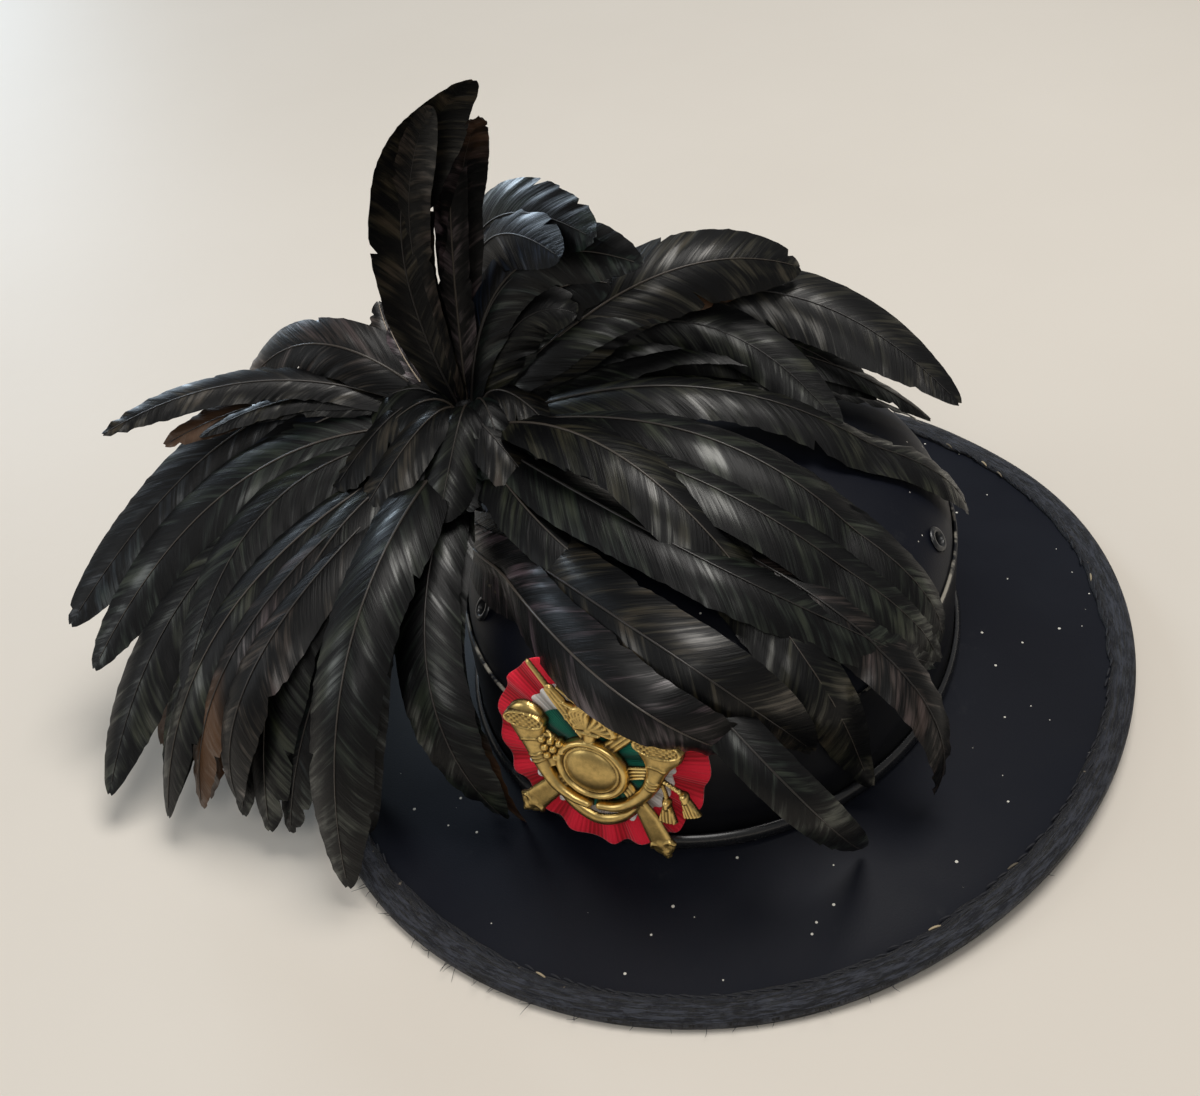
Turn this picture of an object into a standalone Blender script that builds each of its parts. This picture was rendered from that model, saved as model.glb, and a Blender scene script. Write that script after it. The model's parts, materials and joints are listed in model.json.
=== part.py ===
"""Plumed military hat: black felt, leather band, cockade, cast badge, chin strap and cock feathers.

Metres, +Z up. The hat rests on its rim at z = 0. Its front is at -Y and the wearer's right at -X,
where the plume stands. The origin is the middle of the head opening.
"""

import math

import bmesh
import bpy
from mathutils import Matrix, Vector

GAP = 0.0003  # left between pieces that touch
STATIONS = 40  # points round the brim and the crown

# Felt body
FELT_WALL = 0.0025
HEAD_HALF_LENGTH = 0.1001  # inside the crown, front to back
HEAD_HALF_WIDTH = 0.0841
SIDE_HEIGHT = 0.056  # where the crown's wall turns into its dome
DOME_HEIGHT = 0.043
BRIM_HALF_LENGTH = 0.1667
BRIM_HALF_WIDTH = 0.1527
BRIM_RISE = 0.0085  # from the rim up to the foot of the crown
SIDE_LIFT = 0.0055  # how far the rim curls up beside the head
REST_TURN = math.radians(66)  # the rim lies flat from here round to the front and the back
DOME_STEPS = 5

# Binding round the rim
RIBBON = 0.001
BINDING_WIDTH = 0.009
RIM_CLEARANCE = 0.0006  # between the felt's edge and the fold of the binding

# Leather band and its piping
BAND_WALL = 0.0015
BAND_TOP = 0.058
BAND_FOOT_CLEARANCE = 0.0012  # above the felt's corner
PIPING_HEIGHT = 0.006
PIPING_DEPTH = 0.0027

# Eyelets: headings are measured from the wearer's left towards the back
EYELET_HEIGHT = 0.070
EYELET_HEADINGS = {"eyelet_1": 4, "eyelet_2": -42, "eyelet_3": 176, "eyelet_4": 222}
EYELET_RADIUS = 0.0048
EYELET_HOLE = 0.0025
EYELET_TUBE = 0.0007
EYELET_FLANGE = 0.0009
EYELET_INNER_RADIUS = 0.0043
EYELET_SIDES = 10
EYELET_INNER_CLEARANCE = 0.0016  # the flange inside stands off the hollow of the dome

# Cockade
COCKADE_HEADING = math.radians(6.5)  # turned towards the wearer's right
COCKADE_LEAN = math.radians(10)
COCKADE_HEIGHT = 0.0545
COCKADE_SHEET = 0.001
COCKADE_BEND = 0.15  # radius to which the ribbon is bent round the crown
COCKADE_HUB = 0.002
COCKADE_STATIONS = 60
PLEAT = 0.0016
PLEAT_COUNT = 15
RED_RADIUS = 0.0375
WHITE_RADIUS = 0.0275
GREEN_RADIUS = 0.021
SCALLOP = 0.0012

# Badge: x and y in its table are shares of BADGE_HALF
BADGE_HALF = 0.033
BADGE_PLATE = 0.0011
BADGE_FLATTEN = 0.5
BADGE_LAYER = 0.00004  # each rod lies this much higher than the one before it
DISC_CENTRE = (-0.10, -0.18)
DISC_RADIUS = 0.34
DISC_DOME = 0.0036
COIL_RADIUS = 0.40
COIL_WIRE = 0.055
BADGE_SIDES = 20  # round the disc and the coil
COIL_SIDES = 6  # round the coil's wire

# Plume
SOCKET_RADIUS = 0.0068
SOCKET_WALL = 0.001
SOCKET_BOTTOM = 0.026
SOCKET_TOP = 0.060
SOCKET_SIDES = 16
SOCKET_HEADING_SHIFT = -0.006  # in front of the middle of the crown's side
PLUME_ROOT_HEIGHT = 0.100
PLUME_LEAN = 0.008  # the head leans in over the crown
PLUME_HEAD = 0.010
PLUME_HEIGHT = 0.250  # tip of the tallest feather
FEATHER_REACH = 0.160
FEATHER_WIDTH = 0.024
FEATHER_THICKNESS = 0.0016
QUILL_SWELL = 1.9  # how much thicker a feather is where it leaves the head
FEATHER_STEPS = 6
CROWN_CLEARANCE = 0.005
HUG_REACH = 0.35  # feathers nearer the crown than this share of its size lie flat to it

# Chin strap
STRAP_WIDTH = 0.011
STRAP_THICKNESS = 0.002
STRAP_TAB = 0.021  # how far its ends go up inside the crown
STRAP_WALL_CLEARANCE = 0.0012

# Plume feathers. Each passes a middle and ends at a tip, both seen from the plume's root:
# heading in degrees from the wearer's left, reach as a share of FEATHER_REACH and height as a share
# of PLUME_HEIGHT. Width is a share of FEATHER_WIDTH and roll turns the vane, in degrees.
FEATHERS = [
    # middle heading, reach, height, tip heading, reach, height, width, roll
    (-144, 0.06, 0.74, -34, 0.30, 1.00, 1.00, 0),
    (60, 0.07, 0.72, -29, 0.26, 0.94, 0.60, 0),
    (85, 0.17, 0.66, 0, 0.37, 0.74, 1.00, -30),
    (32, 0.15, 0.64, 6, 0.45, 0.69, 0.85, -30),
    (32, 0.18, 0.58, 30, 0.36, 0.60, 0.95, -40),
    (27, 0.42, 0.60, 32, 0.79, 0.56, 1.15, -35),
    (34, 0.62, 0.54, 17, 1.10, 0.40, 1.15, -25),
    (30, 0.54, 0.50, 22, 0.93, 0.38, 0.90, -20),
    (27, 0.58, 0.48, 21, 1.05, 0.34, 0.75, 0),
    (11, 0.61, 0.47, 13, 1.10, 0.24, 1.00, 0),
    (-5, 0.66, 0.46, -6, 1.10, 0.21, 1.00, 0),
    (-15, 0.67, 0.45, -8, 1.13, 0.20, 0.95, 0),
    (-27, 0.73, 0.42, -9, 1.12, 0.20, 0.95, 0),
    (-23, 0.61, 0.47, -21, 1.10, 0.09, 1.00, 0),
    (-16, 0.98, 0.31, -17, 1.20, 0.07, 0.90, 0),
    (-42, 0.77, 0.42, -29, 1.02, 0.22, 1.15, 0),
    (-51, 0.87, 0.40, -32, 1.01, 0.23, 1.05, 0),
    (-47, 0.99, 0.39, -26, 1.15, 0.07, 0.90, 0),
    (-45, 0.40, 0.41, -37, 0.64, 0.37, 0.80, 0),
    (-89, 0.64, 0.36, -89, 0.89, 0.04, 1.05, 0),
    (-78, 0.57, 0.29, -66, 0.72, 0.07, 0.90, 0),
    (-100, 0.56, 0.29, -102, 0.82, 0.05, 0.85, 0),
    (-111, 0.54, 0.34, -105, 0.84, 0.05, 1.10, 0),
    (-108, 0.66, 0.32, -111, 0.84, 0.08, 0.90, 0),
    (-115, 0.64, 0.32, -117, 0.89, 0.05, 0.85, 0),
    (-122, 0.63, 0.32, -119, 0.96, 0.05, 0.90, 0),
    (-139, 0.46, 0.38, -122, 0.81, 0.22, 0.90, 0),
    (-139, 0.61, 0.32, -127, 1.04, 0.06, 1.05, 0),
    (-150, 0.51, 0.39, -139, 0.97, 0.18, 1.00, 0),
    (-166, 0.48, 0.43, -145, 1.00, 0.22, 1.10, 0),
    (-167, 0.43, 0.49, -154, 0.81, 0.48, 0.60, 0),
    (180, 0.33, 0.52, 179, 0.61, 0.40, 0.90, 0),
    (169, 0.15, 0.48, 151, 0.30, 0.54, 0.45, 0),
]

# Rods of the badge. Points are x, y as shares of BADGE_HALF, each with the rod's radius there.
BADGE_RODS = {
    "rifle_right": [(0.78, -0.96, 0.13), (0.62, -0.74, 0.10), (0.44, -0.54, 0.085), (-0.52, 0.66, 0.07),
                    (-0.74, 0.95, 0.03)],
    "rifle_left": [(-0.80, -0.96, 0.13), (-0.64, -0.74, 0.10), (-0.46, -0.54, 0.085), (0.56, 0.66, 0.07),
                   (0.80, 0.94, 0.03)],
    "butt_curl_right": [(0.66, -0.86, 0.07), (0.84, -0.70, 0.06), (0.92, -0.52, 0.035)],
    "butt_curl_left": [(-0.68, -0.86, 0.07), (-0.50, -0.80, 0.06), (-0.40, -0.68, 0.035)],
    "horn_right": [(0.00, -0.58, 0.055), (0.27, -0.46, 0.065), (0.47, -0.27, 0.075), (0.57, -0.07, 0.085),
                   (0.59, 0.10, 0.13), (0.61, 0.30, 0.25)],
    "horn_left": [(-0.20, -0.60, 0.055), (-0.49, -0.49, 0.065), (-0.66, -0.24, 0.075),
                  (-0.73, 0.00, 0.095), (-0.76, 0.14, 0.14), (-0.78, 0.30, 0.21)],
    "cord_right": [(0.60, -0.02, 0.03), (0.76, -0.12, 0.03), (0.86, -0.20, 0.03)],
    "tassel_right": [(0.84, -0.16, 0.04), (0.90, -0.28, 0.09), (0.92, -0.40, 0.09)],
    "tassel_left": [(0.70, -0.10, 0.03), (0.68, -0.28, 0.04), (0.67, -0.38, 0.09), (0.68, -0.48, 0.09)],
    "wreath": [(-0.52, -0.66, 0.04), (-0.34, -0.74, 0.07), (-0.04, -0.84, 0.075), (0.24, -0.76, 0.06),
               (0.42, -0.62, 0.04)],
    "knob": [(-0.115, 0.18, 0.07), (-0.115, 0.28, 0.11), (-0.115, 0.38, 0.08)],
    "flame_1": [(-0.11, 0.34, 0.08), (0.02, 0.46, 0.07), (0.16, 0.46, 0.05), (0.28, 0.56, 0.02)],
    "flame_2": [(-0.12, 0.36, 0.08), (-0.04, 0.54, 0.07), (0.10, 0.60, 0.05), (0.18, 0.74, 0.02)],
    "flame_3": [(-0.13, 0.36, 0.08), (-0.18, 0.56, 0.08), (-0.08, 0.72, 0.05), (-0.02, 0.88, 0.02)],
    "flame_4": [(-0.14, 0.36, 0.07), (-0.26, 0.50, 0.07), (-0.28, 0.66, 0.05), (-0.22, 0.84, 0.02)],
    "flame_5": [(-0.15, 0.34, 0.07), (-0.32, 0.42, 0.06), (-0.42, 0.56, 0.05), (-0.44, 0.74, 0.02)],
    "brace_right": [(0.24, 0.00, 0.05), (0.56, 0.00, 0.05)],
    "brace_left": [(-0.44, -0.02, 0.05), (-0.74, 0.02, 0.05)],
}

# The strap's way round. x and y are shares of the brim's half width and half length.
STRAP_ROUTE = [
    # x, y
    (-0.70, 0.02), (-0.92, 0.00), (-1.04, -0.14), (-1.05, -0.32), (-0.99, -0.47), (-0.89, -0.56),
    (-0.76, -0.60), (-0.56, -0.56), (-0.28, -0.36), (0.06, -0.16), (0.34, -0.05),
]


def clear_scene():
    for obj in list(bpy.data.objects):
        bpy.data.objects.remove(obj, do_unlink=True)


def collection(name, hidden=False):
    made = bpy.data.collections.new(name)
    made.hide_render = hidden
    bpy.context.scene.collection.children.link(made)
    return made


def material(name, colour, roughness, metallic=0.0):
    made = bpy.data.materials.new(name)
    made.use_nodes = True
    shader = made.node_tree.nodes["Principled BSDF"]
    shader.inputs["Base Color"].default_value = (*colour, 1.0)
    shader.inputs["Roughness"].default_value = roughness
    shader.inputs["Metallic"].default_value = metallic
    made.diffuse_color = (*colour, 1.0)
    return made


def add(name, mesh, into, finish=None, parent=None):
    """The mesh as an object in a collection, as a part or, with no finish, as a cutter."""
    obj = bpy.data.objects.new(name, mesh)
    into.objects.link(obj)
    obj.parent = parent
    if finish:
        mesh.materials.append(finish)
    else:
        obj.hide_render = True
        obj.display_type = "WIRE"
    return obj


def modifier(obj, kind, **settings):
    made = obj.modifiers.new(kind.title(), kind)
    for setting, value in settings.items():
        setattr(made, setting, value)
    return made


def smooth(mesh, angle=40):
    mesh.shade_smooth()
    mesh.set_sharp_from_angle(angle=math.radians(angle))


def loft(name, rings, closed=False, pole=None, open_start=False):
    """A skin over rings of equally many points. It joins its last ring to its first, or is capped."""
    shape = bmesh.new()
    made = [[shape.verts.new(point) for point in ring] for ring in rings]
    count = len(made[0])
    for low, high in zip(made, made[1:] + (made[:1] if closed else [])):
        for i in range(count):
            j = (i + 1) % count
            shape.faces.new((low[i], low[j], high[j], high[i]))
    if pole:
        top = shape.verts.new(pole)
        for i in range(count):
            shape.faces.new((made[-1][i], made[-1][(i + 1) % count], top))
    elif not closed:
        shape.faces.new(made[-1])
    if not closed and not open_start:
        shape.faces.new(made[0][::-1])
    if not open_start:
        bmesh.ops.recalc_face_normals(shape, faces=shape.faces)
    mesh = bpy.data.meshes.new(name)
    shape.to_mesh(mesh)
    shape.free()
    return mesh


def turns():
    return [math.tau * i / STATIONS for i in range(STATIONS)]


def oval(half_width, half_length, height):
    """A level ring round the hat."""
    return [Vector((half_width * math.cos(t), half_length * math.sin(t), height)) for t in turns()]


def felt_outside():
    """Half width and half length of the crown's outer face."""
    return HEAD_HALF_WIDTH + FELT_WALL, HEAD_HALF_LENGTH + FELT_WALL


def band_outside():
    """Half width and half length of the band's outer face."""
    width, length = felt_outside()
    return width + GAP + BAND_WALL, length + GAP + BAND_WALL


def clamp(share):
    return min(1.0, max(0.0, share))


def ease(share):
    return share * share * (3 - 2 * share)


def rim_lift(turn):
    """How far the rim is off the surface: nothing at the front and back, most beside the head."""
    start = math.cos(REST_TURN)
    return SIDE_LIFT * ease(clamp((abs(math.cos(turn)) - start) / (1 - start)))


def brim_breadth(turn):
    """From the foot of the crown to the rim."""
    width, length = felt_outside()
    across = (BRIM_HALF_WIDTH - width) * math.cos(turn)
    return math.hypot(across, (BRIM_HALF_LENGTH - length) * math.sin(turn))


def brim_point(turn, inset):
    """A point of the brim's top, this far in from the rim."""
    foot_width, foot_length = felt_outside()
    breadth = brim_breadth(turn)
    out = 1 - inset / breadth
    flat = 1 - BINDING_WIDTH / breadth
    slope = max(0.0, 1 - out / flat) ** 1.5
    base = RIBBON + GAP + FELT_WALL
    return Vector((
        (foot_width + (BRIM_HALF_WIDTH - foot_width) * out) * math.cos(turn),
        (foot_length + (BRIM_HALF_LENGTH - foot_length) * out) * math.sin(turn),
        base + BRIM_RISE * slope + rim_lift(turn) * max(0.0, out) ** 1.5,
    ))


def crown_foot():
    """Height of the felt's top where the brim meets the crown."""
    return RIBBON + GAP + FELT_WALL + BRIM_RISE


def felt_rings():
    """Rings of the felt's outer face, from the rim up to near the top of the crown."""
    rings = [[brim_point(t, 0.0) for t in turns()], [brim_point(t, BINDING_WIDTH) for t in turns()]]
    for out in (0.66, 0.46, 0.28, 0.13, 0.04):
        rings.append([brim_point(t, brim_breadth(t) * (1 - out)) for t in turns()])
    width, length = felt_outside()
    for height in (crown_foot() + FELT_WALL / 3, (crown_foot() + SIDE_HEIGHT) / 2, SIDE_HEIGHT):
        rings.append(oval(width, length, height))
    for step in range(1, DOME_STEPS + 1):
        rise = math.radians(90) * step / (DOME_STEPS + 1)
        level = SIDE_HEIGHT + DOME_HEIGHT * math.sin(rise)
        rings.append(oval(width * math.cos(rise), length * math.cos(rise), level))
    return rings


def eyelet_frame(degrees):
    """Where an eyelet sits on the dome: its axes, with z pointing out, and its place."""
    width, length = felt_outside()
    heading = math.radians(degrees)
    rise = math.asin((EYELET_HEIGHT - SIDE_HEIGHT) / DOME_HEIGHT)
    place = Vector((
        width * math.cos(rise) * math.cos(heading), length * math.cos(rise) * math.sin(heading), EYELET_HEIGHT
    ))
    out = Vector((place.x / width**2, place.y / length**2, (EYELET_HEIGHT - SIDE_HEIGHT) / DOME_HEIGHT**2))
    return Matrix.Translation(place) @ out.to_track_quat("Z", "Y").to_matrix().to_4x4()


def turned(name, profile, sides):
    """A profile of x, z points turned about Z. It runs down its outer side."""
    mesh = bpy.data.meshes.new(name)
    points = [(x, 0.0, z) for x, z in profile]
    ends_on_axis = profile[0][0] == 0 and profile[-1][0] == 0
    edges = [(i, i + 1) for i in range(len(points) - 1)]
    if not ends_on_axis:
        edges.append((len(points) - 1, 0))
    mesh.from_pydata(points, edges, [])
    settings = {"steps": sides, "render_steps": sides, "use_merge_vertices": True, "merge_threshold": 0.00005}
    return mesh, settings


def evaluated(obj, into):
    """The object's mesh with its curve or modifiers worked out, welded, as a cutter in its place."""
    graph = bpy.context.evaluated_depsgraph_get()
    mesh = bpy.data.meshes.new_from_object(obj.evaluated_get(graph))
    shape = bmesh.new()
    shape.from_mesh(mesh)
    bmesh.ops.remove_doubles(shape, verts=shape.verts, dist=0.00002)
    bmesh.ops.recalc_face_normals(shape, faces=shape.faces)
    shape.to_mesh(mesh)
    shape.free()
    name = obj.name
    matrix = obj.matrix_world.copy()
    bpy.data.objects.remove(obj, do_unlink=True)
    made = add(name, mesh, into)
    made.matrix_world = matrix
    return made


def without_pockets(obj):
    """The object with its modifiers worked out, keeping only its outer skin: sealed pockets are filled."""
    graph = bpy.context.evaluated_depsgraph_get()
    mesh = bpy.data.meshes.new_from_object(obj.evaluated_get(graph))
    shape = bmesh.new()
    shape.from_mesh(mesh)
    bmesh.ops.triangulate(shape, faces=shape.faces[:])
    left = set(shape.faces)
    skins = []
    while left:
        border = [left.pop()]
        skin = set(border)
        while border:
            near = {near for face in border for edge in face.edges for near in edge.link_faces} & left
            left -= near
            skin |= near
            border = list(near)
        skins.append(skin)
    outer = max(skins, key=len)
    bmesh.ops.delete(shape, geom=[f for skin in skins if skin is not outer for f in skin], context="FACES")
    shape.to_mesh(mesh)
    shape.free()
    obj.modifiers.clear()
    obj.data = mesh


def make_felt(parts, cutters):
    rings = felt_rings()
    pole = Vector((0, 0, SIDE_HEIGHT + DOME_HEIGHT))
    felt = add("felt_body", loft("felt_body", rings, pole=pole, open_start=True), parts,
               material("black_felt", (0.012, 0.013, 0.018), 0.95))
    modifier(felt, "SOLIDIFY", thickness=FELT_WALL, offset=-1, use_even_offset=True)
    for name, degrees in EYELET_HEADINGS.items():
        mesh = bpy.data.meshes.new(name + "_hole")
        hole = bmesh.new()
        radius = EYELET_HOLE + EYELET_TUBE + GAP
        bmesh.ops.create_cone(
            hole, cap_ends=True, segments=EYELET_SIDES, radius1=radius, radius2=radius, depth=5 * FELT_WALL
        )
        hole.to_mesh(mesh)
        hole.free()
        cutter = add(name + "_hole", mesh, cutters)
        cutter.matrix_world = eyelet_frame(degrees)
        modifier(felt, "BOOLEAN", operation="DIFFERENCE", solver="EXACT", object=cutter)
    smooth(felt.data)


def make_binding(parts):
    """A ribbon folded over the rim, its section carried round by the felt's own surface."""
    outer = GAP + RIBBON
    below = FELT_WALL + GAP
    edge = RIM_CLEARANCE + RIBBON
    section = [
        # in from the rim, above the felt's top
        (BINDING_WIDTH, GAP), (BINDING_WIDTH, outer), (0.0, outer), (-edge, GAP / 2),
        (-edge, -FELT_WALL - GAP / 2), (0.0, -below - RIBBON), (BINDING_WIDTH, -below - RIBBON),
        (BINDING_WIDTH, -below), (-RIM_CLEARANCE, -below), (-RIM_CLEARANCE, GAP),
    ]
    rings = []
    for inset, above in section:
        rings.append([brim_point(t, inset) + Vector((0, 0, above)) for t in turns()])
    mesh = loft("brim_binding", rings, closed=True)
    add("brim_binding", mesh, parts, material("worn_binding", (0.030, 0.032, 0.040), 0.7))
    smooth(mesh)


def oval_rings(section, width, length):
    """Rings for a piece that goes round the crown, from a section of outward, height points."""
    return [oval(width + out, length + out, height) for out, height in section]


def make_band(parts):
    foot = crown_foot() + BAND_FOOT_CLEARANCE
    inside = FELT_WALL + GAP
    section = [
        # outward, height
        (inside, foot), (inside + BAND_WALL, foot), (inside + BAND_WALL, BAND_TOP - BAND_WALL / 2),
        (inside + BAND_WALL / 2, BAND_TOP), (inside, BAND_TOP),
    ]
    mesh = loft("crown_band", oval_rings(section, HEAD_HALF_WIDTH, HEAD_HALF_LENGTH), closed=True)
    add("crown_band", mesh, parts, material("band_leather", (0.010, 0.011, 0.016), 0.6))
    smooth(mesh)


def make_piping(parts):
    """A glossy rounded strip round the foot of the band."""
    width, length = band_outside()
    foot = crown_foot() + GAP
    section = [
        # outward, height
        (GAP, foot), (PIPING_DEPTH * 0.9, foot), (PIPING_DEPTH, foot + PIPING_HEIGHT * 0.6),
        (GAP, foot + PIPING_HEIGHT),
    ]
    mesh = loft("base_piping", oval_rings(section, width, length), closed=True)
    add("base_piping", mesh, parts, material("patent_leather", (0.006, 0.006, 0.007), 0.2))
    smooth(mesh, 60)


def make_eyelets(parts):
    """Turned eyelets: a flange outside, a tube through the felt and a smaller flange inside."""
    finish = material("black_enamel", (0.008, 0.008, 0.010), 0.35)
    inner = -FELT_WALL - EYELET_INNER_CLEARANCE
    profile = [
        # radius, height above the felt
        (EYELET_HOLE, EYELET_FLANGE), (EYELET_RADIUS * 0.8, EYELET_FLANGE + GAP), (EYELET_RADIUS, GAP),
        (EYELET_HOLE + EYELET_TUBE, GAP), (EYELET_HOLE + EYELET_TUBE, inner), (EYELET_INNER_RADIUS, inner),
        (EYELET_INNER_RADIUS, inner - EYELET_TUBE), (EYELET_HOLE, inner - EYELET_TUBE),
    ]
    for name, degrees in EYELET_HEADINGS.items():
        mesh, settings = turned(name, profile, EYELET_SIDES)
        eyelet = add(name, mesh, parts, finish)
        eyelet.matrix_world = eyelet_frame(degrees)
        modifier(eyelet, "SCREW", **settings)


def cockade_empty(parts):
    """An empty where the back of the cockade touches the band: x across, y up and z out of the hat."""
    lean, heading = COCKADE_LEAN, COCKADE_HEADING
    out = Vector((-math.sin(heading) * math.cos(lean), -math.cos(heading) * math.cos(lean), math.sin(lean)))
    width, length = band_outside()
    reach = math.hypot(width * math.sin(heading), length * math.cos(heading))
    across, forward = width**2 * math.sin(heading) / reach, length**2 * math.cos(heading) / reach
    touch = Vector((-across, -forward, BAND_TOP))
    up = (Vector((0, 0, 1)) - out * out.z).normalized()
    place = touch + out * GAP
    place += up * (COCKADE_HEIGHT - place.z) / up.z
    across = up.cross(out)
    empty = bpy.data.objects.new("cockade_place", None)
    parts.objects.link(empty)
    axes = Matrix((across, up, out)).transposed().to_4x4()
    empty.matrix_world = Matrix.Translation(place) @ axes
    bpy.context.view_layer.update()
    return empty


def cockade_depth():
    """From the back of the cockade to the front of its green ribbon's pleats."""
    share = (GREEN_RADIUS - COCKADE_HUB) / (RED_RADIUS - COCKADE_HUB)
    return 2 * (COCKADE_SHEET + GAP) + COCKADE_SHEET + PLEAT * share


def pleated_disc(name, radius, layer, scallops):
    """A ribbon rosette. Its pleats grow from the hub outwards, and it is bent round the crown."""
    def point(turn, reach, lift):
        wave = 0.5 + 0.5 * math.cos(PLEAT_COUNT * turn)
        share = (reach - COCKADE_HUB) / (RED_RADIUS - COCKADE_HUB)
        x = reach * math.cos(turn)
        setback = x * x / (2 * COCKADE_BEND)
        return Vector((x, reach * math.sin(turn), lift + PLEAT * wave * share - setback))

    back = layer * (COCKADE_SHEET + GAP)
    rings = [[], [], [], []]
    for i in range(COCKADE_STATIONS):
        turn = math.tau * i / COCKADE_STATIONS
        edge = radius - SCALLOP * (0.5 - 0.5 * math.cos(scallops * turn))
        places = ((COCKADE_HUB, COCKADE_SHEET), (edge, COCKADE_SHEET), (edge, 0.0), (COCKADE_HUB, 0.0))
        for ring, (reach, lift) in zip(rings, places):
            ring.append(point(turn, reach, back + lift))
    return loft(name, rings, closed=True)


def make_cockade(parts, place):
    """Three ribbons, the red at the back and the green in front."""
    ribbons = [
        # name, radius, scallops, colour
        ("cockade_red", RED_RADIUS, PLEAT_COUNT, (0.62, 0.010, 0.020)),
        ("cockade_white", WHITE_RADIUS, 2 * PLEAT_COUNT, (0.80, 0.78, 0.74)),
        ("cockade_green", GREEN_RADIUS, PLEAT_COUNT, (0.010, 0.150, 0.085)),
    ]
    for layer, (name, radius, scallops, colour) in enumerate(ribbons):
        mesh = pleated_disc(name, radius, layer, scallops)
        add(name, mesh, parts, material(name.replace("cockade", "ribbon"), colour, 0.8), place)
        smooth(mesh, 25)


def rod(name, points, height, into, parent):
    """A tapering tube along x, y, radius points, made a mesh and flattened towards the badge's plate."""
    curve = bpy.data.curves.new(name, "CURVE")
    curve.dimensions = "3D"
    curve.bevel_depth = BADGE_HALF
    curve.bevel_resolution = 1
    curve.use_fill_caps = True
    spline = curve.splines.new("POLY")
    spline.points.add(len(points) - 1)
    for point, (x, y, radius) in zip(spline.points, points):
        point.co = (x * BADGE_HALF, y * BADGE_HALF, 0.0, 1.0)
        point.radius = radius
    obj = bpy.data.objects.new(name, curve)
    into.objects.link(obj)
    bpy.context.view_layer.update()
    made = evaluated(obj, into)
    made.data.transform(Matrix.Diagonal((1, 1, BADGE_FLATTEN, 1)))
    made.data.transform(Matrix.Translation((0, 0, height)))
    made.parent = parent
    return made


def make_badge(parts, cutters, place):
    """One casting: crossed rifles, a horn coiled round a plain domed disc, a knob and its flames."""
    pieces = bpy.data.collections.new("badge_pieces")
    cutters.children.link(pieces)
    seat = bpy.data.objects.new("badge_place", None)
    parts.objects.link(seat)
    seat.parent = place
    seat.location.z = cockade_depth() + GAP
    bpy.context.view_layer.update()
    x, y = (share * BADGE_HALF for share in DISC_CENTRE)

    mesh = bpy.data.meshes.new("badge")
    dome = bmesh.new()
    bmesh.ops.create_uvsphere(dome, u_segments=BADGE_SIDES, v_segments=6, radius=DISC_RADIUS * BADGE_HALF)
    dome.to_mesh(mesh)
    dome.free()
    mesh.transform(Matrix.Diagonal((1, 1, DISC_DOME / (DISC_RADIUS * BADGE_HALF), 1)))
    mesh.transform(Matrix.Translation((x, y, BADGE_PLATE)))
    badge = add("badge", mesh, parts, material("aged_brass", (0.36, 0.22, 0.06), 0.4, 1.0), seat)

    rings = []
    for i in range(COIL_SIDES):
        angle = math.tau * i / COIL_SIDES
        wide = COIL_WIRE * BADGE_HALF * math.cos(angle)
        high = 2 * BADGE_FLATTEN * COIL_WIRE * BADGE_HALF * math.sin(angle) + BADGE_PLATE
        rings.append([
            Vector((x + (COIL_RADIUS * BADGE_HALF + wide) * math.cos(math.tau * j / BADGE_SIDES),
                    y + (COIL_RADIUS * BADGE_HALF + wide) * math.sin(math.tau * j / BADGE_SIDES), high))
            for j in range(BADGE_SIDES)
        ])
    add("coil", loft("coil", rings, closed=True), pieces, parent=seat)
    for layer, (name, points) in enumerate(BADGE_RODS.items()):
        rod(name, points, BADGE_PLATE + (layer + 1) * BADGE_LAYER, pieces, seat)
    modifier(badge, "BOOLEAN", operation="UNION", solver="EXACT", operand_type="COLLECTION",
             collection=pieces)

    slab_mesh = bpy.data.meshes.new("badge_back")
    slab = bmesh.new()
    bmesh.ops.create_cube(slab, size=1.0)
    slab.to_mesh(slab_mesh)
    slab.free()
    depth = 6 * BADGE_PLATE
    slab_mesh.transform(Matrix.Diagonal((4 * BADGE_HALF, 4 * BADGE_HALF, depth, 1)))
    slab_mesh.transform(Matrix.Translation((0, 0, -depth / 2)))
    back = add("badge_back", slab_mesh, cutters, parent=seat)
    modifier(badge, "BOOLEAN", operation="DIFFERENCE", solver="EXACT", object=back)
    smooth(badge.data, 50)


def socket_place():
    """Where the plume's socket stands, beside the band on the wearer's right."""
    width, length = band_outside()
    turn = math.asin(SOCKET_HEADING_SHIFT / length)
    return Vector((-width * math.cos(turn) - GAP - SOCKET_RADIUS, SOCKET_HEADING_SHIFT, 0.0))


def plume_root():
    return socket_place() + Vector((PLUME_LEAN, 0, PLUME_ROOT_HEIGHT))


def make_socket(parts):
    profile = [
        # radius, height
        (0, SOCKET_BOTTOM + SOCKET_WALL), (SOCKET_RADIUS - SOCKET_WALL, SOCKET_BOTTOM + SOCKET_WALL),
        (SOCKET_RADIUS - SOCKET_WALL, SOCKET_TOP), (SOCKET_RADIUS, SOCKET_TOP),
        (SOCKET_RADIUS, SOCKET_BOTTOM), (0, SOCKET_BOTTOM),
    ]
    mesh, settings = turned("plume_socket", profile, SOCKET_SIDES)
    socket = add("plume_socket", mesh, parts, material("socket_leather", (0.012, 0.012, 0.014), 0.5))
    socket.location = socket_place()
    modifier(socket, "SCREW", **settings)


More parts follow.
